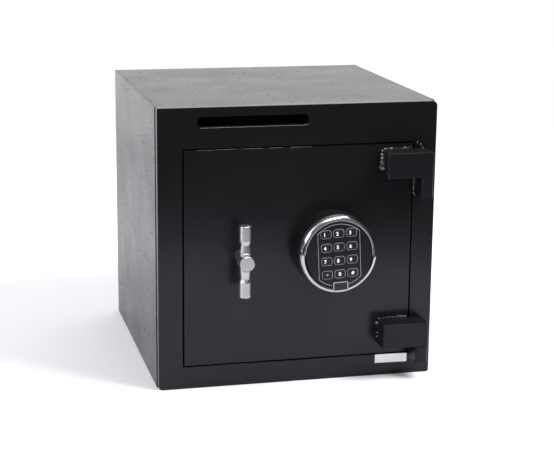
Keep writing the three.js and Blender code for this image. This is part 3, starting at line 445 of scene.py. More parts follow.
def new_piece(name, shape, material, body, stands_for=(), crease=CREASE, weighted=True):
    """Turn a bmesh or mesh into a finished piece that rides on a body."""
    if isinstance(shape, bmesh.types.BMesh):
        bmesh.ops.remove_doubles(shape, verts=shape.verts, dist=SAME_POINT)
        bmesh.ops.recalc_face_normals(shape, faces=shape.faces)
        mesh = bpy.data.meshes.new(name)
        shape.to_mesh(mesh)
        shape.free()
    else:
        mesh = shape
        mesh.name = name
    mesh.materials.clear()
    mesh.materials.append(material)
    mesh.shade_smooth()
    mesh.set_sharp_from_angle(angle=crease)
    item = bpy.data.objects.new(name, mesh)
    scene.collection.objects.link(item)
    if weighted:
        weigh = item.modifiers.new("weigh", "WEIGHTED_NORMAL")
        weigh.keep_sharp = True
        apply_all(item)
    if stands_for:
        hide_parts(*stands_for)
    return set_on(item, body)


def set_on(item, body):
    """Let a finished piece ride on a body of the frame."""
    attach(item, body)
    print(f"{item.name}: {len(item.data.polygons)} faces, rides on {body}")
    return item


def apply_all(item):
    """Turn an object's modifiers into a plain mesh."""
    graph = bpy.context.evaluated_depsgraph_get()
    baked = bpy.data.meshes.new_from_object(item.evaluated_get(graph), depsgraph=graph)
    item.modifiers.clear()
    item.data = baked


def loose_copy(node):
    """A merged copy of a frame solid as a bmesh, with flat facets melted together."""
    shape = bmesh.new()
    shape.from_mesh(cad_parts[node].data)
    bmesh.ops.remove_doubles(shape, verts=shape.verts, dist=SAME_PLACE)
    bmesh.ops.dissolve_limit(shape, angle_limit=FLAT, verts=shape.verts, edges=shape.edges)
    return shape


def round_edges(shape, width, chosen, segments=3):
    """Round the creases that chosen() accepts by their middle, in millimetres, and the axes they follow."""
    edges = []
    for edge in shape.edges:
        if len(edge.link_faces) != 2 or edge.calc_face_angle(0) < CREASE:
            continue
        middle = (edge.verts[0].co + edge.verts[1].co) / 2 / MM
        way = (edge.verts[1].co - edge.verts[0].co).normalized()
        if chosen(middle, [abs(c) > ALONG_AXIS for c in way]):
            edges.append(edge)
    bmesh.ops.bevel(shape, geom=edges, offset=width * MM, offset_type="OFFSET", segments=segments,
                    profile=0.5, affect="EDGES", clamp_overlap=True)
    return len(edges)


print("piece helpers ready")

# %% [markdown]
# The box is welded from plate. Its long corners were ground flush, so the roof runs into
# the sides without a line.

# %% Cabinet plates
def box_mm(node):
    """A solid's lowest and highest corners at rest, in millimetres."""
    return [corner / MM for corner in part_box(node)]


low, high = (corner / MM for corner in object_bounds())
front_y, plate_back_y = (corner.y for corner in box_mm("front_frame"))
middle_z = high.z / 2
NEAR = 0.1
ROOF_CUT, SIDE_CUT = 0.5, 0.8

for side, x in (("left", low.x), ("right", high.x)):
    plate = loose_copy(f"side_plate_{side}")
    count = round_edges(plate, ROOF_CUT, lambda m, way: way[1] and abs(m.x - x) < NEAR and m.z > middle_z)
    count += round_edges(plate, SIDE_CUT, lambda m, way: way[1] and abs(m.x - x) < NEAR and m.z < middle_z)
    count += round_edges(plate, SIDE_CUT, lambda m, way: (
        way[2] and abs(m.y - high.y) < NEAR and abs(m.x - x) < NEAR))
    print("edges ground:", count)
    # The side plates wear the enamel copy that paints their shade
    new_piece(f"ground_side_{side}", plate, shaded_side_enamel, "cabinet", [f"side_plate_{side}"])

# %% [markdown]
# The front plate is a hair narrower than the box on the left, so the side's cut edge
# shows as a dark line. Its four corners were ground by hand, each a little differently.
# The slot was milled: its lower edge is worn round, and its upper edge is nearly sharp.

# %% Front plate
FRONT_INSET = 0.8
SLOT_CENTRE, SLOT_REACH = Vector((-58, 337.5)), Vector((75, 12))
SLOT_LOWER_EDGE, SLOT_UPPER_EDGE, PLATE_EDGE = 1.5, 0.3, 0.7
front = loose_copy("front_frame")
for vertex in front.verts:
    if abs(vertex.co.x / MM - low.x) < NEAR:
        vertex.co.x += FRONT_INSET * MM
left_x = low.x + FRONT_INSET
corners = ((left_x, low.z, 5.0), (left_x, high.z, 1.5), (high.x, low.z, 3.0), (high.x, high.z, 6.0))
for x, z, radius in corners:
    round_edges(front, radius, lambda m, way: way[1] and abs(m.x - x) < NEAR and abs(m.z - z) < NEAR, 6)


def at_slot(m):
    """Whether a point of the front plate is on the rim of the slot."""
    return abs(m.x - SLOT_CENTRE.x) < SLOT_REACH.x and abs(m.z - SLOT_CENTRE.y) < SLOT_REACH.y


for lower_half, width in ((True, SLOT_LOWER_EDGE), (False, SLOT_UPPER_EDGE)):
    round_edges(front, width, lambda m, way: (
        abs(m.y - front_y) < NEAR and at_slot(m) and (m.z < SLOT_CENTRE.y) == lower_half))
round_edges(front, PLATE_EDGE, lambda m, way: abs(m.y - front_y) < NEAR and not at_slot(m))
new_piece("ground_front_plate", front, door_enamel, "cabinet", ["front_frame"])
dress(box_enamel, 0.05, "roof_plate", "floor_plate", "back_plate")
dress(box_enamel, 0.4, "door_stop_upper", "door_stop_lower")
# The chute gets the darkened enamel that paints the shade inside the slot
dress(chute_enamel_with_painted_shade, 0.15, "chute_trough", "chute_hood")

# %% [markdown]
# The door is a plain plate with ground edges that drops into the opening. Its hinge bars
# are square steel, sheared off and knocked round at the corners.

# %% Door plate and hinge bars
dress(door_enamel, 1.1, "door_plate")
BAR_ROUNDING = {"leaf": 1.7, "knuckle": 2.2}
for end in ("upper", "lower"):
    for part, body in (("leaf", "door"), ("knuckle", "cabinet")):
        bar = loose_copy(f"hinge_{part}_{end}")
        near_bar, far_bar = box_mm(f"hinge_{part}_{end}")
        round_edges(bar, BAR_ROUNDING[part], lambda m, way: any(way) and m.y < front_y - 1 and (
            min(m.x - near_bar.x, far_bar.x - m.x) < NEAR or m.y - near_bar.y < NEAR), 5)
        new_piece(f"{part}_bar_{end}", bar, bar_enamel, body, [f"hinge_{part}_{end}"])
    dress(turned_steel, 0.4, f"hinge_pin_{end}")
dress(mill_steel, 0.5, "dead_bar", "bolt_guide", "tongue_keeper")
dress(mill_steel, 0.3, "hard_plate")
print("door plate, hinges and the plates behind the door dressed")

# %% [markdown]
# A weld bead is a row of frozen puddles, each lapping the last like coins on a shelf.
# Geometry Nodes make it: a path is cut into even steps, a flattened ball is set on each
# step with a random size, and a volume melts the balls into one skin.

# %% Weld tree
BALL_FLATNESS = 0.62
RIPPLE_WIDTH = 3.2


def end_tree(tree, shape, finish):
    """End a tree with real geometry and its material, since the export drops instances."""
    real = add_node(tree, "GeometryNodeRealizeInstances", {"Geometry": shape})
    coated = add_node(tree, "GeometryNodeSetMaterial", {"Geometry": real, "Material": finish})
    add_node(tree, "NodeGroupOutput", {0: coated})


weld_tree, path, weld_inputs = new_tree("weld_bead", {
    "Step": "Float", "Radius": "Float", "Unevenness": "Float", "Voxel": "Float", "Roughening": "Float",
    "Seed": "Int", "Finish": "Material"})
line = add_node(weld_tree, "GeometryNodeMeshToCurve", {"Mesh": path.outputs["Geometry"]})
steps = add_node(weld_tree, "GeometryNodeResampleCurve",
                 {"Curve": line, "Length": path.outputs["Step"]}, mode="LENGTH")
tangent = add_node(weld_tree, "GeometryNodeInputTangent")
facing = add_node(weld_tree, "FunctionNodeAlignRotationToVector", {"Vector": tangent}, axis="Z")
ball = add_node(weld_tree, "GeometryNodeMeshIcoSphere", None, {"Radius": 1.0, "Subdivisions": 3})
smallest, largest = (
    add_node(weld_tree, "ShaderNodeMath", {1: path.outputs["Unevenness"]}, {0: 1.0}, operation=sign)
    for sign in ("SUBTRACT", "ADD"))
luck = add_node(weld_tree, "FunctionNodeRandomValue", {
    2: smallest, 3: largest, "Seed": path.outputs["Seed"]}, data_type="FLOAT")
size = add_node(weld_tree, "ShaderNodeMath", {0: luck.outputs[1], 1: path.outputs["Radius"]},
                operation="MULTIPLY")
thin = add_node(weld_tree, "ShaderNodeMath", {0: size}, {1: BALL_FLATNESS}, operation="MULTIPLY")
squash = add_node(weld_tree, "ShaderNodeCombineXYZ", {"X": size, "Y": size, "Z": thin})
puddles = add_node(weld_tree, "GeometryNodeInstanceOnPoints",
                   {"Points": steps, "Instance": ball,
                    "Rotation": facing, "Scale": squash})
real = add_node(weld_tree, "GeometryNodeRealizeInstances", {"Geometry": puddles})
melt = add_node(weld_tree, "GeometryNodeMeshToVolume",
                {"Mesh": real, "Voxel Size": path.outputs["Voxel"]}, resolution_mode="VOXEL_SIZE")
skin = add_node(weld_tree, "GeometryNodeVolumeToMesh",
                {"Volume": melt, "Voxel Size": path.outputs["Voxel"]}, {"Threshold": 0.1},
                resolution_mode="VOXEL_SIZE")
ripple = add_node(weld_tree, "ShaderNodeTexNoise", None, {"Scale": 1 / (RIPPLE_WIDTH * MM), "Detail": 1.0})
centred = add_node(weld_tree, "ShaderNodeMath", {0: ripple}, {1: 0.5}, operation="SUBTRACT")
amount = add_node(weld_tree, "ShaderNodeMath", {0: centred, 1: path.outputs["Roughening"]},
                  operation="MULTIPLY")
outward = add_node(weld_tree, "GeometryNodeInputNormal")
swell = add_node(weld_tree, "ShaderNodeVectorMath", {0: outward, 3: amount},
                 operation="SCALE")
rough_skin = add_node(weld_tree, "GeometryNodeSetPosition",
                      {"Geometry": skin, "Offset": swell})
round_skin = add_node(weld_tree, "GeometryNodeSetShadeSmooth", {"Geometry": rough_skin},
                      {"Shade Smooth": True})
end_tree(weld_tree, round_skin, path.outputs["Finish"])
print("weld tree with", len(weld_tree.nodes), "nodes")


# %% Weld beads at the hinges
def grown(name, tree, sockets, paths, values, body, place=None):
    """Grow a tree's geometry from paths in millimetres, and make it a plain piece on a body."""
    mesh = bpy.data.meshes.new(name)
    points, edges = [], []
    for path_points in paths:
        first = len(points)
        points += [Vector(point) * MM for point in path_points]
        edges += [(first + i, first + i + 1) for i in range(len(path_points) - 1)]
    mesh.from_pydata(points, edges, [])
    item = bpy.data.objects.new(name, mesh)
    scene.collection.objects.link(item)
    modifier = item.modifiers.new("grow", "NODES")
    modifier.node_group = tree
    for key, value in values.items():
        modifier[sockets[key].identifier] = value
    apply_all(item)
    if place:
        item.data.transform(place)
    return set_on(item, body)


WELD_VOXEL = 0.42


def weld(name, body, paths, radius, step=4.0, unevenness=0.42, roughening=3.0, seed=1):
    """Lay weld beads of one radius along paths on a body. Sizes are in millimetres."""
    grown(name, weld_tree, weld_inputs, paths, {
        "Step": step * MM, "Radius": radius * MM, "Unevenness": unevenness, "Voxel": WELD_VOXEL * MM,
        "Roughening": roughening * MM, "Seed": seed, "Finish": weld_enamel,
    }, body)


door_face, door_edge = box_mm("door_plate")[0].y, box_mm("door_plate")[1].x
(left, _, foot), (_, _, head) = box_mm("hinge_leaf_upper")
weld("leaf_weld_upper", "door", [
    [(left + 0.6, door_face - 5.5, foot + 9), (left + 0.4, door_face - 7.5, foot + 16),
     (left + 0.6, door_face - 7, head - 1), (left + 3.5, door_face - 4.5, head + 0.6)],
    [(left + 0.8, door_face - 12, foot + 9), (left + 0.9, door_face - 11, foot + 15)],
], 3.5, seed=3)
weld("leaf_weld_upper_top", "door", [
    [(left + 5, door_face - 2, head + 0.4), (left + 12, door_face - 1.5, head + 0.6)],
    [(left + 14, door_face - 1.2, head + 0.6), (door_edge - 4, door_face - 1.2, head + 0.6)],
], 2.3, step=3.2, seed=6)
(left, _, foot), (_, _, head) = box_mm("hinge_leaf_lower")
weld("leaf_weld_lower", "door", [
    [(left + 0.4, door_face - 5, foot + 9), (left + 0.4, door_face - 5.5, foot + 15)],
    [(left + 0.3, door_face - 4.5, head - 5), (left + 0.4, door_face - 4, head),
     (left + 3, door_face - 3, head + 0.5)],
], 3.0, seed=8)
weld("leaf_weld_lower_top", "door", [
    [(left + 4, door_face - 2, head + 0.5), (left + 11, door_face - 1.6, head + 0.5)],
    [(left + 14, door_face - 1.2, head + 0.5), (door_edge - 4, door_face - 1.2, head + 0.5)],
], 2.2, step=3.2, seed=15)
(left, _, foot), (right, _, head) = box_mm("hinge_knuckle_upper")
weld("knuckle_weld_upper", "cabinet", [
    [(left + 0.3, door_face - 2, head - 2), (left + 0.3, door_face - 2, foot),
     (right - 4, door_face - 1.5, foot - 0.5)],
], 2.7, step=2.6, seed=5)
(left, _, foot), (_, _, head) = box_mm("hinge_knuckle_lower")
weld("knuckle_weld_lower", "cabinet", [
    [(left + 1.2, door_face - 0.3, head - 10), (left + 1.2, door_face - 0.3, foot)],
], 1.2, step=1.6, seed=12)
weld("weld_spatter", "cabinet", [
    [(152.5, front_y - 0.4, 303.6), (156.5, front_y - 0.4, 301.5)],
    [(158.5, front_y - 0.4, 299.5), (160.5, front_y - 0.2, 296.5)],
], 1.7, step=2.6, unevenness=0.4, roughening=1.2, seed=21)

# %% [markdown]
# The long corners were welded from outside and ground, and the grinder left low spots.
# Under paint they show as a broken row of small lumps along the corner. One light tree
# sets stretched balls along a path and skips some of them at random.

# %% Lumps along the ground corners
row_tree, route, row_inputs = new_tree("lump_row", {
    "Step": "Float", "Radius": "Float", "Stretch": "Float", "Share": "Float", "Seed": "Int",
    "Finish": "Material"})
curve = add_node(row_tree, "GeometryNodeMeshToCurve", {"Mesh": route.outputs["Geometry"]})
stops = add_node(row_tree, "GeometryNodeResampleCurve",
                 {"Curve": curve, "Length": route.outputs["Step"]}, mode="LENGTH")
heading = add_node(row_tree, "GeometryNodeInputTangent")
along = add_node(row_tree, "FunctionNodeAlignRotationToVector", {"Vector": heading}, axis="Z")
lump = add_node(row_tree, "GeometryNodeMeshIcoSphere", None, {"Radius": 1.0, "Subdivisions": 2})
even = add_node(row_tree, "GeometryNodeSetShadeSmooth", {"Geometry": lump}, {"Shade Smooth": True})
keep = add_node(row_tree, "FunctionNodeRandomValue",
                {"Probability": route.outputs["Share"], "Seed": route.outputs["Seed"]}, data_type="BOOLEAN")
scatter = add_node(row_tree, "FunctionNodeRandomValue", {"Seed": route.outputs["Seed"]},
                   {"Min": 0.6, "Max": 1.0}, data_type="FLOAT")
width = add_node(row_tree, "ShaderNodeMath", {0: scatter.outputs[1], 1: route.outputs["Radius"]},
                 operation="MULTIPLY")
length = add_node(row_tree, "ShaderNodeMath", {0: width, 1: route.outputs["Stretch"]},
                  operation="MULTIPLY")
form = add_node(row_tree, "ShaderNodeCombineXYZ", {"X": width, "Y": width, "Z": length})
lumps = add_node(row_tree, "GeometryNodeInstanceOnPoints",
                 {"Points": stops, "Selection": keep.outputs[3], "Instance": even,
                  "Rotation": along, "Scale": form})
end_tree(row_tree, lumps, route.outputs["Finish"])

LUMP_RADIUS, LUMP_STEP = 0.75, 3.4
corner_paths = [
    [(x, plate_back_y + 1, high.z - LUMP_RADIUS), (x, high.y - 3, high.z - LUMP_RADIUS)]
    for x in (low.x + LUMP_RADIUS, high.x - LUMP_RADIUS)
]
grown("corner_lumps", row_tree, row_inputs, corner_paths, {
    "Step": LUMP_STEP * MM, "Radius": LUMP_RADIUS * MM, "Stretch": 2.0, "Share": 0.55, "Seed": 4,
    "Finish": box_enamel,
}, "cabinet")

# %% [markdown]
# The T-handle is one turned and tumbled casting: a stubby hub with a flat end, and a bar
# through it with a neck on each side. Each part is a profile turned round its axis,
# which is how a lathe would make it. A Boolean then joins the two into one skin.


# %% Turning a profile
STAND_UP = Matrix.Rotation(math.radians(90), 4, "X")
ON_AXIS = 1e-6


def turned(profile, place, axis="Z", sides=96):
    """Turn (radius, height) points in millimetres round an axis. Points on it close the ends."""
    shape = bmesh.new()
    rings = []
    for radius, height in profile:
        if radius < ON_AXIS:
            rings.append([shape.verts.new((0, 0, height * MM))] * sides)
            continue
        rings.append([shape.verts.new((
            radius * MM * math.cos(math.tau * i / sides),
            radius * MM * math.sin(math.tau * i / sides),
            height * MM,
        )) for i in range(sides)])
    closed = profile[0][0] > ON_AXIS
    pairs = list(zip(rings, rings[1:])) + ([(rings[-1], rings[0])] if closed else [])
    for lower, upper in pairs:
        for i in range(sides):
            j = (i + 1) % sides
            corners = list(dict.fromkeys((lower[i], lower[j], upper[j], upper[i])))
            if len(corners) > 2:
                shape.faces.new(corners)
    spin = STAND_UP if axis == "Y" else Matrix.Identity(4)
    shape.transform(Matrix.Translation(Vector(place) * MM) @ spin)
    bmesh.ops.recalc_face_normals(shape, faces=shape.faces)
    return shape


def fillet(start, corner, end, radius, steps=5):
    """Points of an arc that rounds the corner between two legs of a profile."""
    a, b, c = Vector(start), Vector(corner), Vector(end)
    one, two = (a - b).normalized(), (c - b).normalized()
    half = one.angle(two) / 2
    reach = radius / math.tan(half)
    centre = b + (one + two).normalized() * radius / math.sin(half)
    first, last = b + one * reach - centre, b + two * reach - centre
    return [tuple(centre + first.lerp(last, i / steps).normalized() * radius) for i in range(steps + 1)]


def rounded(profile, radii):
    """A profile with some of its corners rounded: radii maps a point's number to its radius."""
    points = []
    for i, point in enumerate(profile):
        if i in radii:
            points += fillet(profile[i - 1], point, profile[i + 1], radii[i])
        else:
            points.append(point)
    return points


def joined(parts, name, mode="UNION"):
    """One mesh from several bmeshes, joined or cut by an exact Boolean."""
    items = []
    for i, shape in enumerate(parts):
        mesh = bpy.data.meshes.new(f"{name}_{i}")
        shape.to_mesh(mesh)
        shape.free()
        item = bpy.data.objects.new(f"{name}_{i}", mesh)
        scene.collection.objects.link(item)
        items.append(item)
    for other in items[1:]:
        cut = items[0].modifiers.new("join", "BOOLEAN")
        cut.object = other
        cut.operation = mode
        cut.solver = "EXACT"
    bpy.context.view_layer.update()
    apply_all(items[0])
    mesh = items[0].data
    for item in items:
        bpy.data.objects.remove(item)
    return mesh


print("lathe ready")

# %% T-handle
hub_low, hub_high = box_mm("handle_tee")
handle_x = sum(corner.x for corner in box_mm("handle_spindle")) / 2
handle_z = (hub_low.z + hub_high.z) / 2
HUB_RADIUS, STEM_RADIUS, BAR_RADIUS, NECK_RADIUS, ROOT_RADIUS = 9.2, 7.0, 7.3, 6.0, 6.8
BAR_OUT = 33
bar_half = (hub_high.z - hub_low.z) / 2
bar_y = door_face - BAR_OUT
hub_length = hub_high.y - hub_low.y
bar_back = hub_high.y - bar_y - ROOT_RADIUS
hub = turned(rounded([
    (0, 0), (STEM_RADIUS, 0), (STEM_RADIUS, bar_back - 5), (HUB_RADIUS, bar_back + 1),
    (HUB_RADIUS, hub_length), (0, hub_length),
], {1: 0.6, 2: 3.0, 3: 3.0, 4: 1.2}), (handle_x, hub_high.y, handle_z), "Y")
half_bar = [
    (ROOT_RADIUS, 8.0), (ROOT_RADIUS + 0.1, 10.6), (ROOT_RADIUS - 0.5, 11.2), (ROOT_RADIUS, 12.0),
    (NECK_RADIUS, 20.0), (NECK_RADIUS, 22.0), (BAR_RADIUS, 26.0), (BAR_RADIUS, bar_half), (0, bar_half),
]
half_bar = rounded(half_bar, {4: 1.5, 5: 0.9, 6: 0.8, 7: 0.9})
mirror_bar = [(radius, -height) for radius, height in reversed(half_bar)]
cross_bar = turned(mirror_bar + half_bar, (handle_x, bar_y, handle_z))
tee = joined([hub, cross_bar], "tee")
new_piece("turned_tee_handle", tee, satin_casting, "handle", ["handle_tee"])
dress(door_enamel, 0.25, "handle_bushing")
dress(bright_zinc, 0.3, "handle_spindle", "crank_plate")
dress(bright_zinc, 0.4, "crank_nut")

# %% [markdown]
# The keypad stands on the door, turned three degrees by the hand that fitted it. All of
# its pieces are drawn flat, as across, out and up from its centre, and one matrix sets
# them on the door. The housing is a moulded drum with a rounded shoulder.

# %% Keypad housing
KEYPAD_X, KEYPAD_Z, KEYPAD_TURN = 43.5, 172.5, math.radians(-3)
ON_DOOR = (Matrix.Translation(Vector((KEYPAD_X, door_face, KEYPAD_Z)) * MM)
           @ Matrix.Rotation(KEYPAD_TURN, 4, "Y") @ STAND_UP)
HOUSING_SHOULDER, HOUSING_RIM = 4.2, 48.5


def off_door(node):
    """How far a solid's back and front stand off the door, in millimetres."""
    return [door_face - corner.y for corner in reversed(box_mm(node))]


housing_front = box_mm("keypad_housing")[0].y
housing = loose_copy("keypad_housing")
round_edges(housing, HOUSING_SHOULDER, lambda m, way: (
    abs(m.y - housing_front) < NEAR and math.hypot(m.x - KEYPAD_X, m.z - KEYPAD_Z) > HOUSING_RIM), 6)
new_piece("moulded_keypad_housing", housing, housing_abs, "door", ["keypad_housing"])
dress(face_abs, 0.3, "keypad_face")
dress(glass_board, 0.1, "keypad_board")
dress(housing_abs, 0.6, "battery_tray")
dress(battery_wrap, 1.2, "battery")
dress(bright_zinc, 0.3, "keypad_screw_left", "keypad_screw_right")

# %% [markdown]
# The ring is a thin chromed shell. Its outside rises from a straight wall over a round
# shoulder to a sharp crest, so it gathers the whole room into one bright band. Inside the
# crest lies a black gasket in a groove, and then a bevel that leads down to the face.


# %% Chrome ring
def slab(width, height, radius, low_out, high_out, up=0.0, place=ON_DOOR, steps=6):
    """A plate with round corners, drawn flat and then set in place. Sizes in millimetres."""
    shape = bmesh.new()
    outline = []
    for corner in range(4):
        cx = (width / 2 - radius) * (1 if corner in (0, 3) else -1)
        cy = (height / 2 - radius) * (1 if corner in (0, 1) else -1)
        for i in range(steps + 1):
            angle = math.radians(90 * corner + 90 * i / steps)
            outline.append((cx + radius * math.cos(angle), up + cy + radius * math.sin(angle)))
    rings = [[shape.verts.new(place @ (Vector((x, y, out)) * MM)) for x, y in outline]
             for out in (low_out, high_out)]
    shape.faces.new(rings[0])
    shape.faces.new(rings[1])
    for i in range(len(outline)):
        j = (i + 1) % len(outline)
        shape.faces.new((rings[0][i], rings[0][j], rings[1][j], rings[1][i]))
    bmesh.ops.recalc_face_normals(shape, faces=shape.faces)
    return shape


def arc(centre, reach, start, end, steps):
    """Points on an ellipse round a centre, from one angle to another in degrees."""
    return [(centre[0] + reach[0] * math.cos(math.radians(start + (end - start) * i / steps)),
             centre[1] + reach[1] * math.sin(math.radians(start + (end - start) * i / steps)))
            for i in range(steps + 1)]


ring_back, ring_top = off_door("keypad_bezel")
RING_INNER, RING_OUTER, RING_SIDES = 42.6, 49.0, 144
WALL_TOP, SHOULDER = 32.4, 1.4
GROOVE_INNER, GROOVE_OUTER, GROOVE_FLOOR = 43.65, 44.55, 34.6
ring_profile = [
    (RING_INNER, ring_back), (RING_OUTER, ring_back),
    *arc((RING_OUTER - SHOULDER, WALL_TOP), (SHOULDER, SHOULDER), 0, 30, 4), (47.75, 34.65), (47.6, 34.85),
    (47.2, 35.13), (46.6, 35.5), (46.0, 35.8), (45.5, 35.96), (45.2, 36.04), (44.9, 36.05), (44.7, 35.95),
    (GROOVE_OUTER, 35.6), (GROOVE_OUTER, GROOVE_FLOOR), (GROOVE_INNER, GROOVE_FLOOR), (GROOVE_INNER, 35.7),
    (GROOVE_INNER - 0.5, 35.52), (RING_INNER, 34.7),
]
on_keypad = (KEYPAD_X, door_face, KEYPAD_Z)
BADGE_WIDTH, BADGE_HEIGHT, BADGE_DOWN = 19.0, 11.5, 39.5
GASKET_GAP, GASKET_TOP = 0.05, 35.4


def badge_cutter(floor):
    """A block that cuts room for the badge plate out of the ring, down to a height off the door."""
    return slab(BADGE_WIDTH + 0.6, BADGE_HEIGHT + 0.9, 0.6, floor, ring_top + 4, up=-BADGE_DOWN)


ring = joined([turned(ring_profile, on_keypad, "Y", RING_SIDES), badge_cutter(GROOVE_FLOOR + 0.2)],
              "ring", "DIFFERENCE")
new_piece("chrome_ring", ring, ring_chrome, "door", ["keypad_bezel"], crease=math.radians(24))
inside, outside, under = GROOVE_INNER + GASKET_GAP, GROOVE_OUTER - GASKET_GAP, GROOVE_FLOOR + GASKET_GAP
gasket = turned([(inside, under), (outside, under), (outside, GASKET_TOP), (inside, GASKET_TOP)],
                on_keypad, "Y", RING_SIDES)
new_piece("ring_gasket", joined([gasket, badge_cutter(GROOVE_FLOOR - 1)], "gasket", "DIFFERENCE"),
          ring_groove, "door")

# %% [markdown]
# The face carries a thin silver line, a circle cut straight down both sides, that stops
# at the badge. Each key has its own raised silver frame. One tree draws the line along
# a path, and one sets the same rounded frame on all twelve key centres.

# %% Drawn lines and key frames
PEN_SIDES = 8
line_tree, drawn, line_inputs = new_tree("drawn_line", {"Half Width": "Float", "Finish": "Material"})
stroke = add_node(line_tree, "GeometryNodeMeshToCurve", {"Mesh": drawn.outputs["Geometry"]})
pen = add_node(line_tree, "GeometryNodeCurvePrimitiveCircle", {"Radius": drawn.outputs["Half Width"]},
               {"Resolution": PEN_SIDES})
wire = add_node(line_tree, "GeometryNodeCurveToMesh",
                {"Curve": stroke, "Profile Curve": pen}, {"Fill Caps": True})
end_tree(line_tree, wire, drawn.outputs["Finish"])

frame_tree, centres, frame_inputs = new_tree("key_frames", {
    "Width": "Float", "Height": "Float", "Corner": "Float", "Half Width": "Float", "Finish": "Material"})
box = add_node(frame_tree, "GeometryNodeCurvePrimitiveQuadrilateral",
               {"Width": centres.outputs["Width"], "Height": centres.outputs["Height"]})
soft_box = add_node(frame_tree, "GeometryNodeFilletCurve",
                    {"Curve": box, "Radius": centres.outputs["Corner"]}, {"Count": 6}, mode="POLY")
pen = add_node(frame_tree, "GeometryNodeCurvePrimitiveCircle", {"Radius": centres.outputs["Half Width"]},
               {"Resolution": PEN_SIDES})
one_frame = add_node(frame_tree, "GeometryNodeCurveToMesh",
                     {"Curve": soft_box, "Profile Curve": pen})
on_keys = add_node(frame_tree, "GeometryNodeInstanceOnPoints",
                   {"Points": centres.outputs["Geometry"], "Instance": one_frame})
end_tree(frame_tree, on_keys, centres.outputs["Finish"])
print("line tree and frame tree ready")

# %% Outline and key frames
face_height = off_door("keypad_face")[1]
PRINT_FLATNESS = 0.35
on_face = (ON_DOOR @ Matrix.Translation(Vector((0, 0, face_height)) * MM)
           @ Matrix.Diagonal((1, 1, PRINT_FLATNESS, 1)))
LINE_RADIUS, LINE_CUT, BADGE_HALF = 39.5, 26.8, 10.4
side_angle = math.degrees(math.acos(LINE_CUT / LINE_RADIUS))
badge_angle = math.degrees(math.asin(BADGE_HALF / LINE_RADIUS))
outline = []
for start, end, steps in ((-90 + badge_angle, -side_angle, 14), (side_angle, 180 - side_angle, 40),
                          (180 + side_angle, 270 - badge_angle, 14)):
    outline += arc((0, 0), (LINE_RADIUS, LINE_RADIUS), start, end, steps)
grown("face_outline", line_tree, line_inputs, [[(x, y, 0) for x, y in outline]],
      {"Half Width": 0.23 * MM, "Finish": silver_print}, "door", on_face)

keys = [f"key_{sign}" for sign in (*"123456789", "star", "0", "hash")]
to_flat = ON_DOOR.inverted()
key_centres = {key: to_flat @ ((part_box(key)[0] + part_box(key)[1]) / 2) / MM for key in keys}
grown("key_frames", frame_tree, frame_inputs, [[(c.x, c.y, 0)] for c in key_centres.values()], {
    "Width": 13.2 * MM, "Height": 10.2 * MM, "Corner": 3.0 * MM, "Half Width": 0.24 * MM,
    "Finish": silver_print,
}, "door", on_face)

# %% [markdown]
# The keys carry plain figures. On the real pad small letters stand beside each figure, so
# the figures sit a little left. The letters are left off here, and the place stays bare.
# A text object is turned into a mesh first, and then sized and set on its key.

# %% Key caps and figures
FIGURE_HEIGHT, FIGURE_LEFT = 4.9, 2.0
figures = {"key_star": ("*", 3.0, 0), "key_0": ("0", FIGURE_HEIGHT, 0.4), "key_hash": ("#", 4.4, 0)}
for key in keys:
    dress(key_rubber, 0.35, key)
    glyph, tall, left = figures.get(key, (key[-1], FIGURE_HEIGHT, FIGURE_LEFT))
    text = bpy.data.curves.new(f"figure_{glyph}", "FONT")
    text.body = glyph
    text.resolution_u = 3
    text.offset = 0.03
    text.extrude = 0.01
    holder = bpy.data.objects.new(f"figure_{key}", text)
    scene.collection.objects.link(holder)
    bpy.context.view_layer.update()
    graph = bpy.context.evaluated_depsgraph_get()
    figure = bmesh.new()
    figure.from_mesh(bpy.data.meshes.new_from_object(holder.evaluated_get(graph)))
    bpy.data.objects.remove(holder)
    xs, ys = [v.co.x for v in figure.verts], [v.co.y for v in figure.verts]
    middle = Vector(((min(xs) + max(xs)) / 2, (min(ys) + max(ys)) / 2, 0))
    size = tall / (max(ys) - min(ys)) * MM
    centre = key_centres[key]
    top = off_door(key)[1]
    figure.transform(ON_DOOR @ Matrix.Translation(Vector((centre.x - left, centre.y, top)) * MM)
                     @ Matrix.Diagonal((size, size, size, 1)) @ Matrix.Translation(-middle))
    new_piece(f"figure_on_{key}", figure, white_print, key, weighted=False)

# %% [markdown]
# The badge plate at the foot of the face is left bare: a cast frame round a dark field.

# %% Badge plate
badge_back, badge_front = off_door("emblem_plate")
BADGE_WALL, FIELD_GAP = 0.9, 0.1
field_width, field_height = BADGE_WIDTH - 2 * BADGE_WALL, BADGE_HEIGHT - 2 * BADGE_WALL
badge = slab(BADGE_WIDTH, BADGE_HEIGHT, 1.2, badge_back, badge_front, up=-BADGE_DOWN)
field_hole = slab(field_width, field_height, 0.8, badge_front - 0.5, badge_front + 2, up=-BADGE_DOWN)
new_piece("badge_frame", joined([badge, field_hole], "badge", "DIFFERENCE"), satin_casting, "door",
          ["emblem_plate"])
badge_field = slab(field_width - 2 * FIELD_GAP, field_height - 2 * FIELD_GAP, 0.7,
                   badge_front - 0.6, badge_front - 0.35, up=-BADGE_DOWN)
new_piece("badge_field", badge_field, emblem_enamel, "door")

# %% [markdown]
# A small white label sits under the lower hinge, stuck on a little crooked. Its print
# is left off.

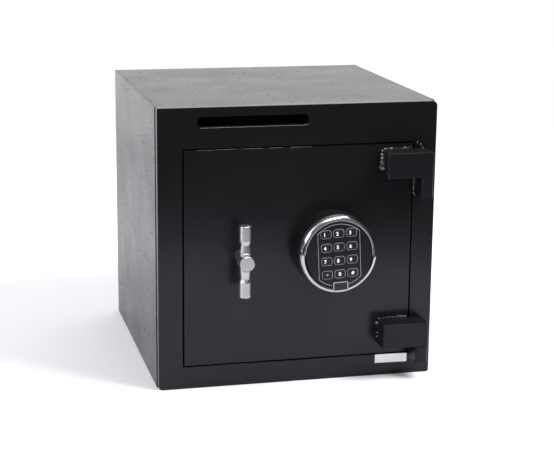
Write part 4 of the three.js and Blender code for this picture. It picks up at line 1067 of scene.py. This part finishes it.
# %% Label
LABEL_WIDTH, LABEL_HEIGHT, LABEL_TURN = 43.0, 11.3, math.radians(0.8)
label_place = Vector((126.0, front_y, 21.9)) * MM
on_front = Matrix.Translation(label_place) @ Matrix.Rotation(LABEL_TURN, 4, "Y") @ STAND_UP
new_piece("bare_label", slab(LABEL_WIDTH, LABEL_HEIGHT, 0.5, 0.05, 0.25, place=on_front), label_paper,
          "cabinet", ["serial_label"])

# %% [markdown]
# Wet enamel draws back from a sharp edge and dries just beside it as a fine raised bead,
# which catches the light from above. One runs below the slot, and short ones stand on
# the top edge of the door. They follow a path, so the tree that drew the lines of the
# keypad draws them too, as thin tubes half sunk in the plate.

# %% Paint beads beside the edges
door_top = box_mm("door_plate")[1].z
SLOT_BEAD_Z = 330.2
slot_bead = [(-124, front_y, SLOT_BEAD_Z), (7, front_y, SLOT_BEAD_Z), (10.6, front_y, 330.8),
             (13.0, front_y, 332.6), (14.2, front_y, 335.0)]
door_beads = [[(start, front_y, door_top - 0.2), (end, front_y, door_top - 0.2)]
              for start, end in ((-128, -109), (-104, -79), (-71, -46), (-38, -21), (-11, 15))]
grown("slot_paint_bead", line_tree, line_inputs, [slot_bead],
      {"Half Width": 0.21 * MM, "Finish": weld_enamel}, "cabinet")
grown("door_paint_beads", line_tree, line_inputs, door_beads,
      {"Half Width": 0.17 * MM, "Finish": weld_enamel}, "door")

# %% [markdown]
# Behind the door: three turned bolts on a zinc-plated bar, the die-cast lock, and the
# lead that joins it to the keypad.

# %% Boltwork and lock
dress(bright_zinc, 0.4, "bolt_bar")
dress(turned_steel, 0.4, "locking_bolt_lower", "locking_bolt_middle", "locking_bolt_upper")
dress(turned_steel, 0.5, "lock_bolt")
dress(cast_zinc, 0.6, "lock_case")
dress(bright_zinc, 0.3, "lock_cover")
dress(bright_zinc, 0.3, "lock_screw_upper_left", "lock_screw_lower_left", "lock_screw_lower_right")
dress(tinned_can, 0.6, "lock_solenoid")
dress(lead_pvc, 0.05, "lock_lead")
print("boltwork, lock and lead dressed")
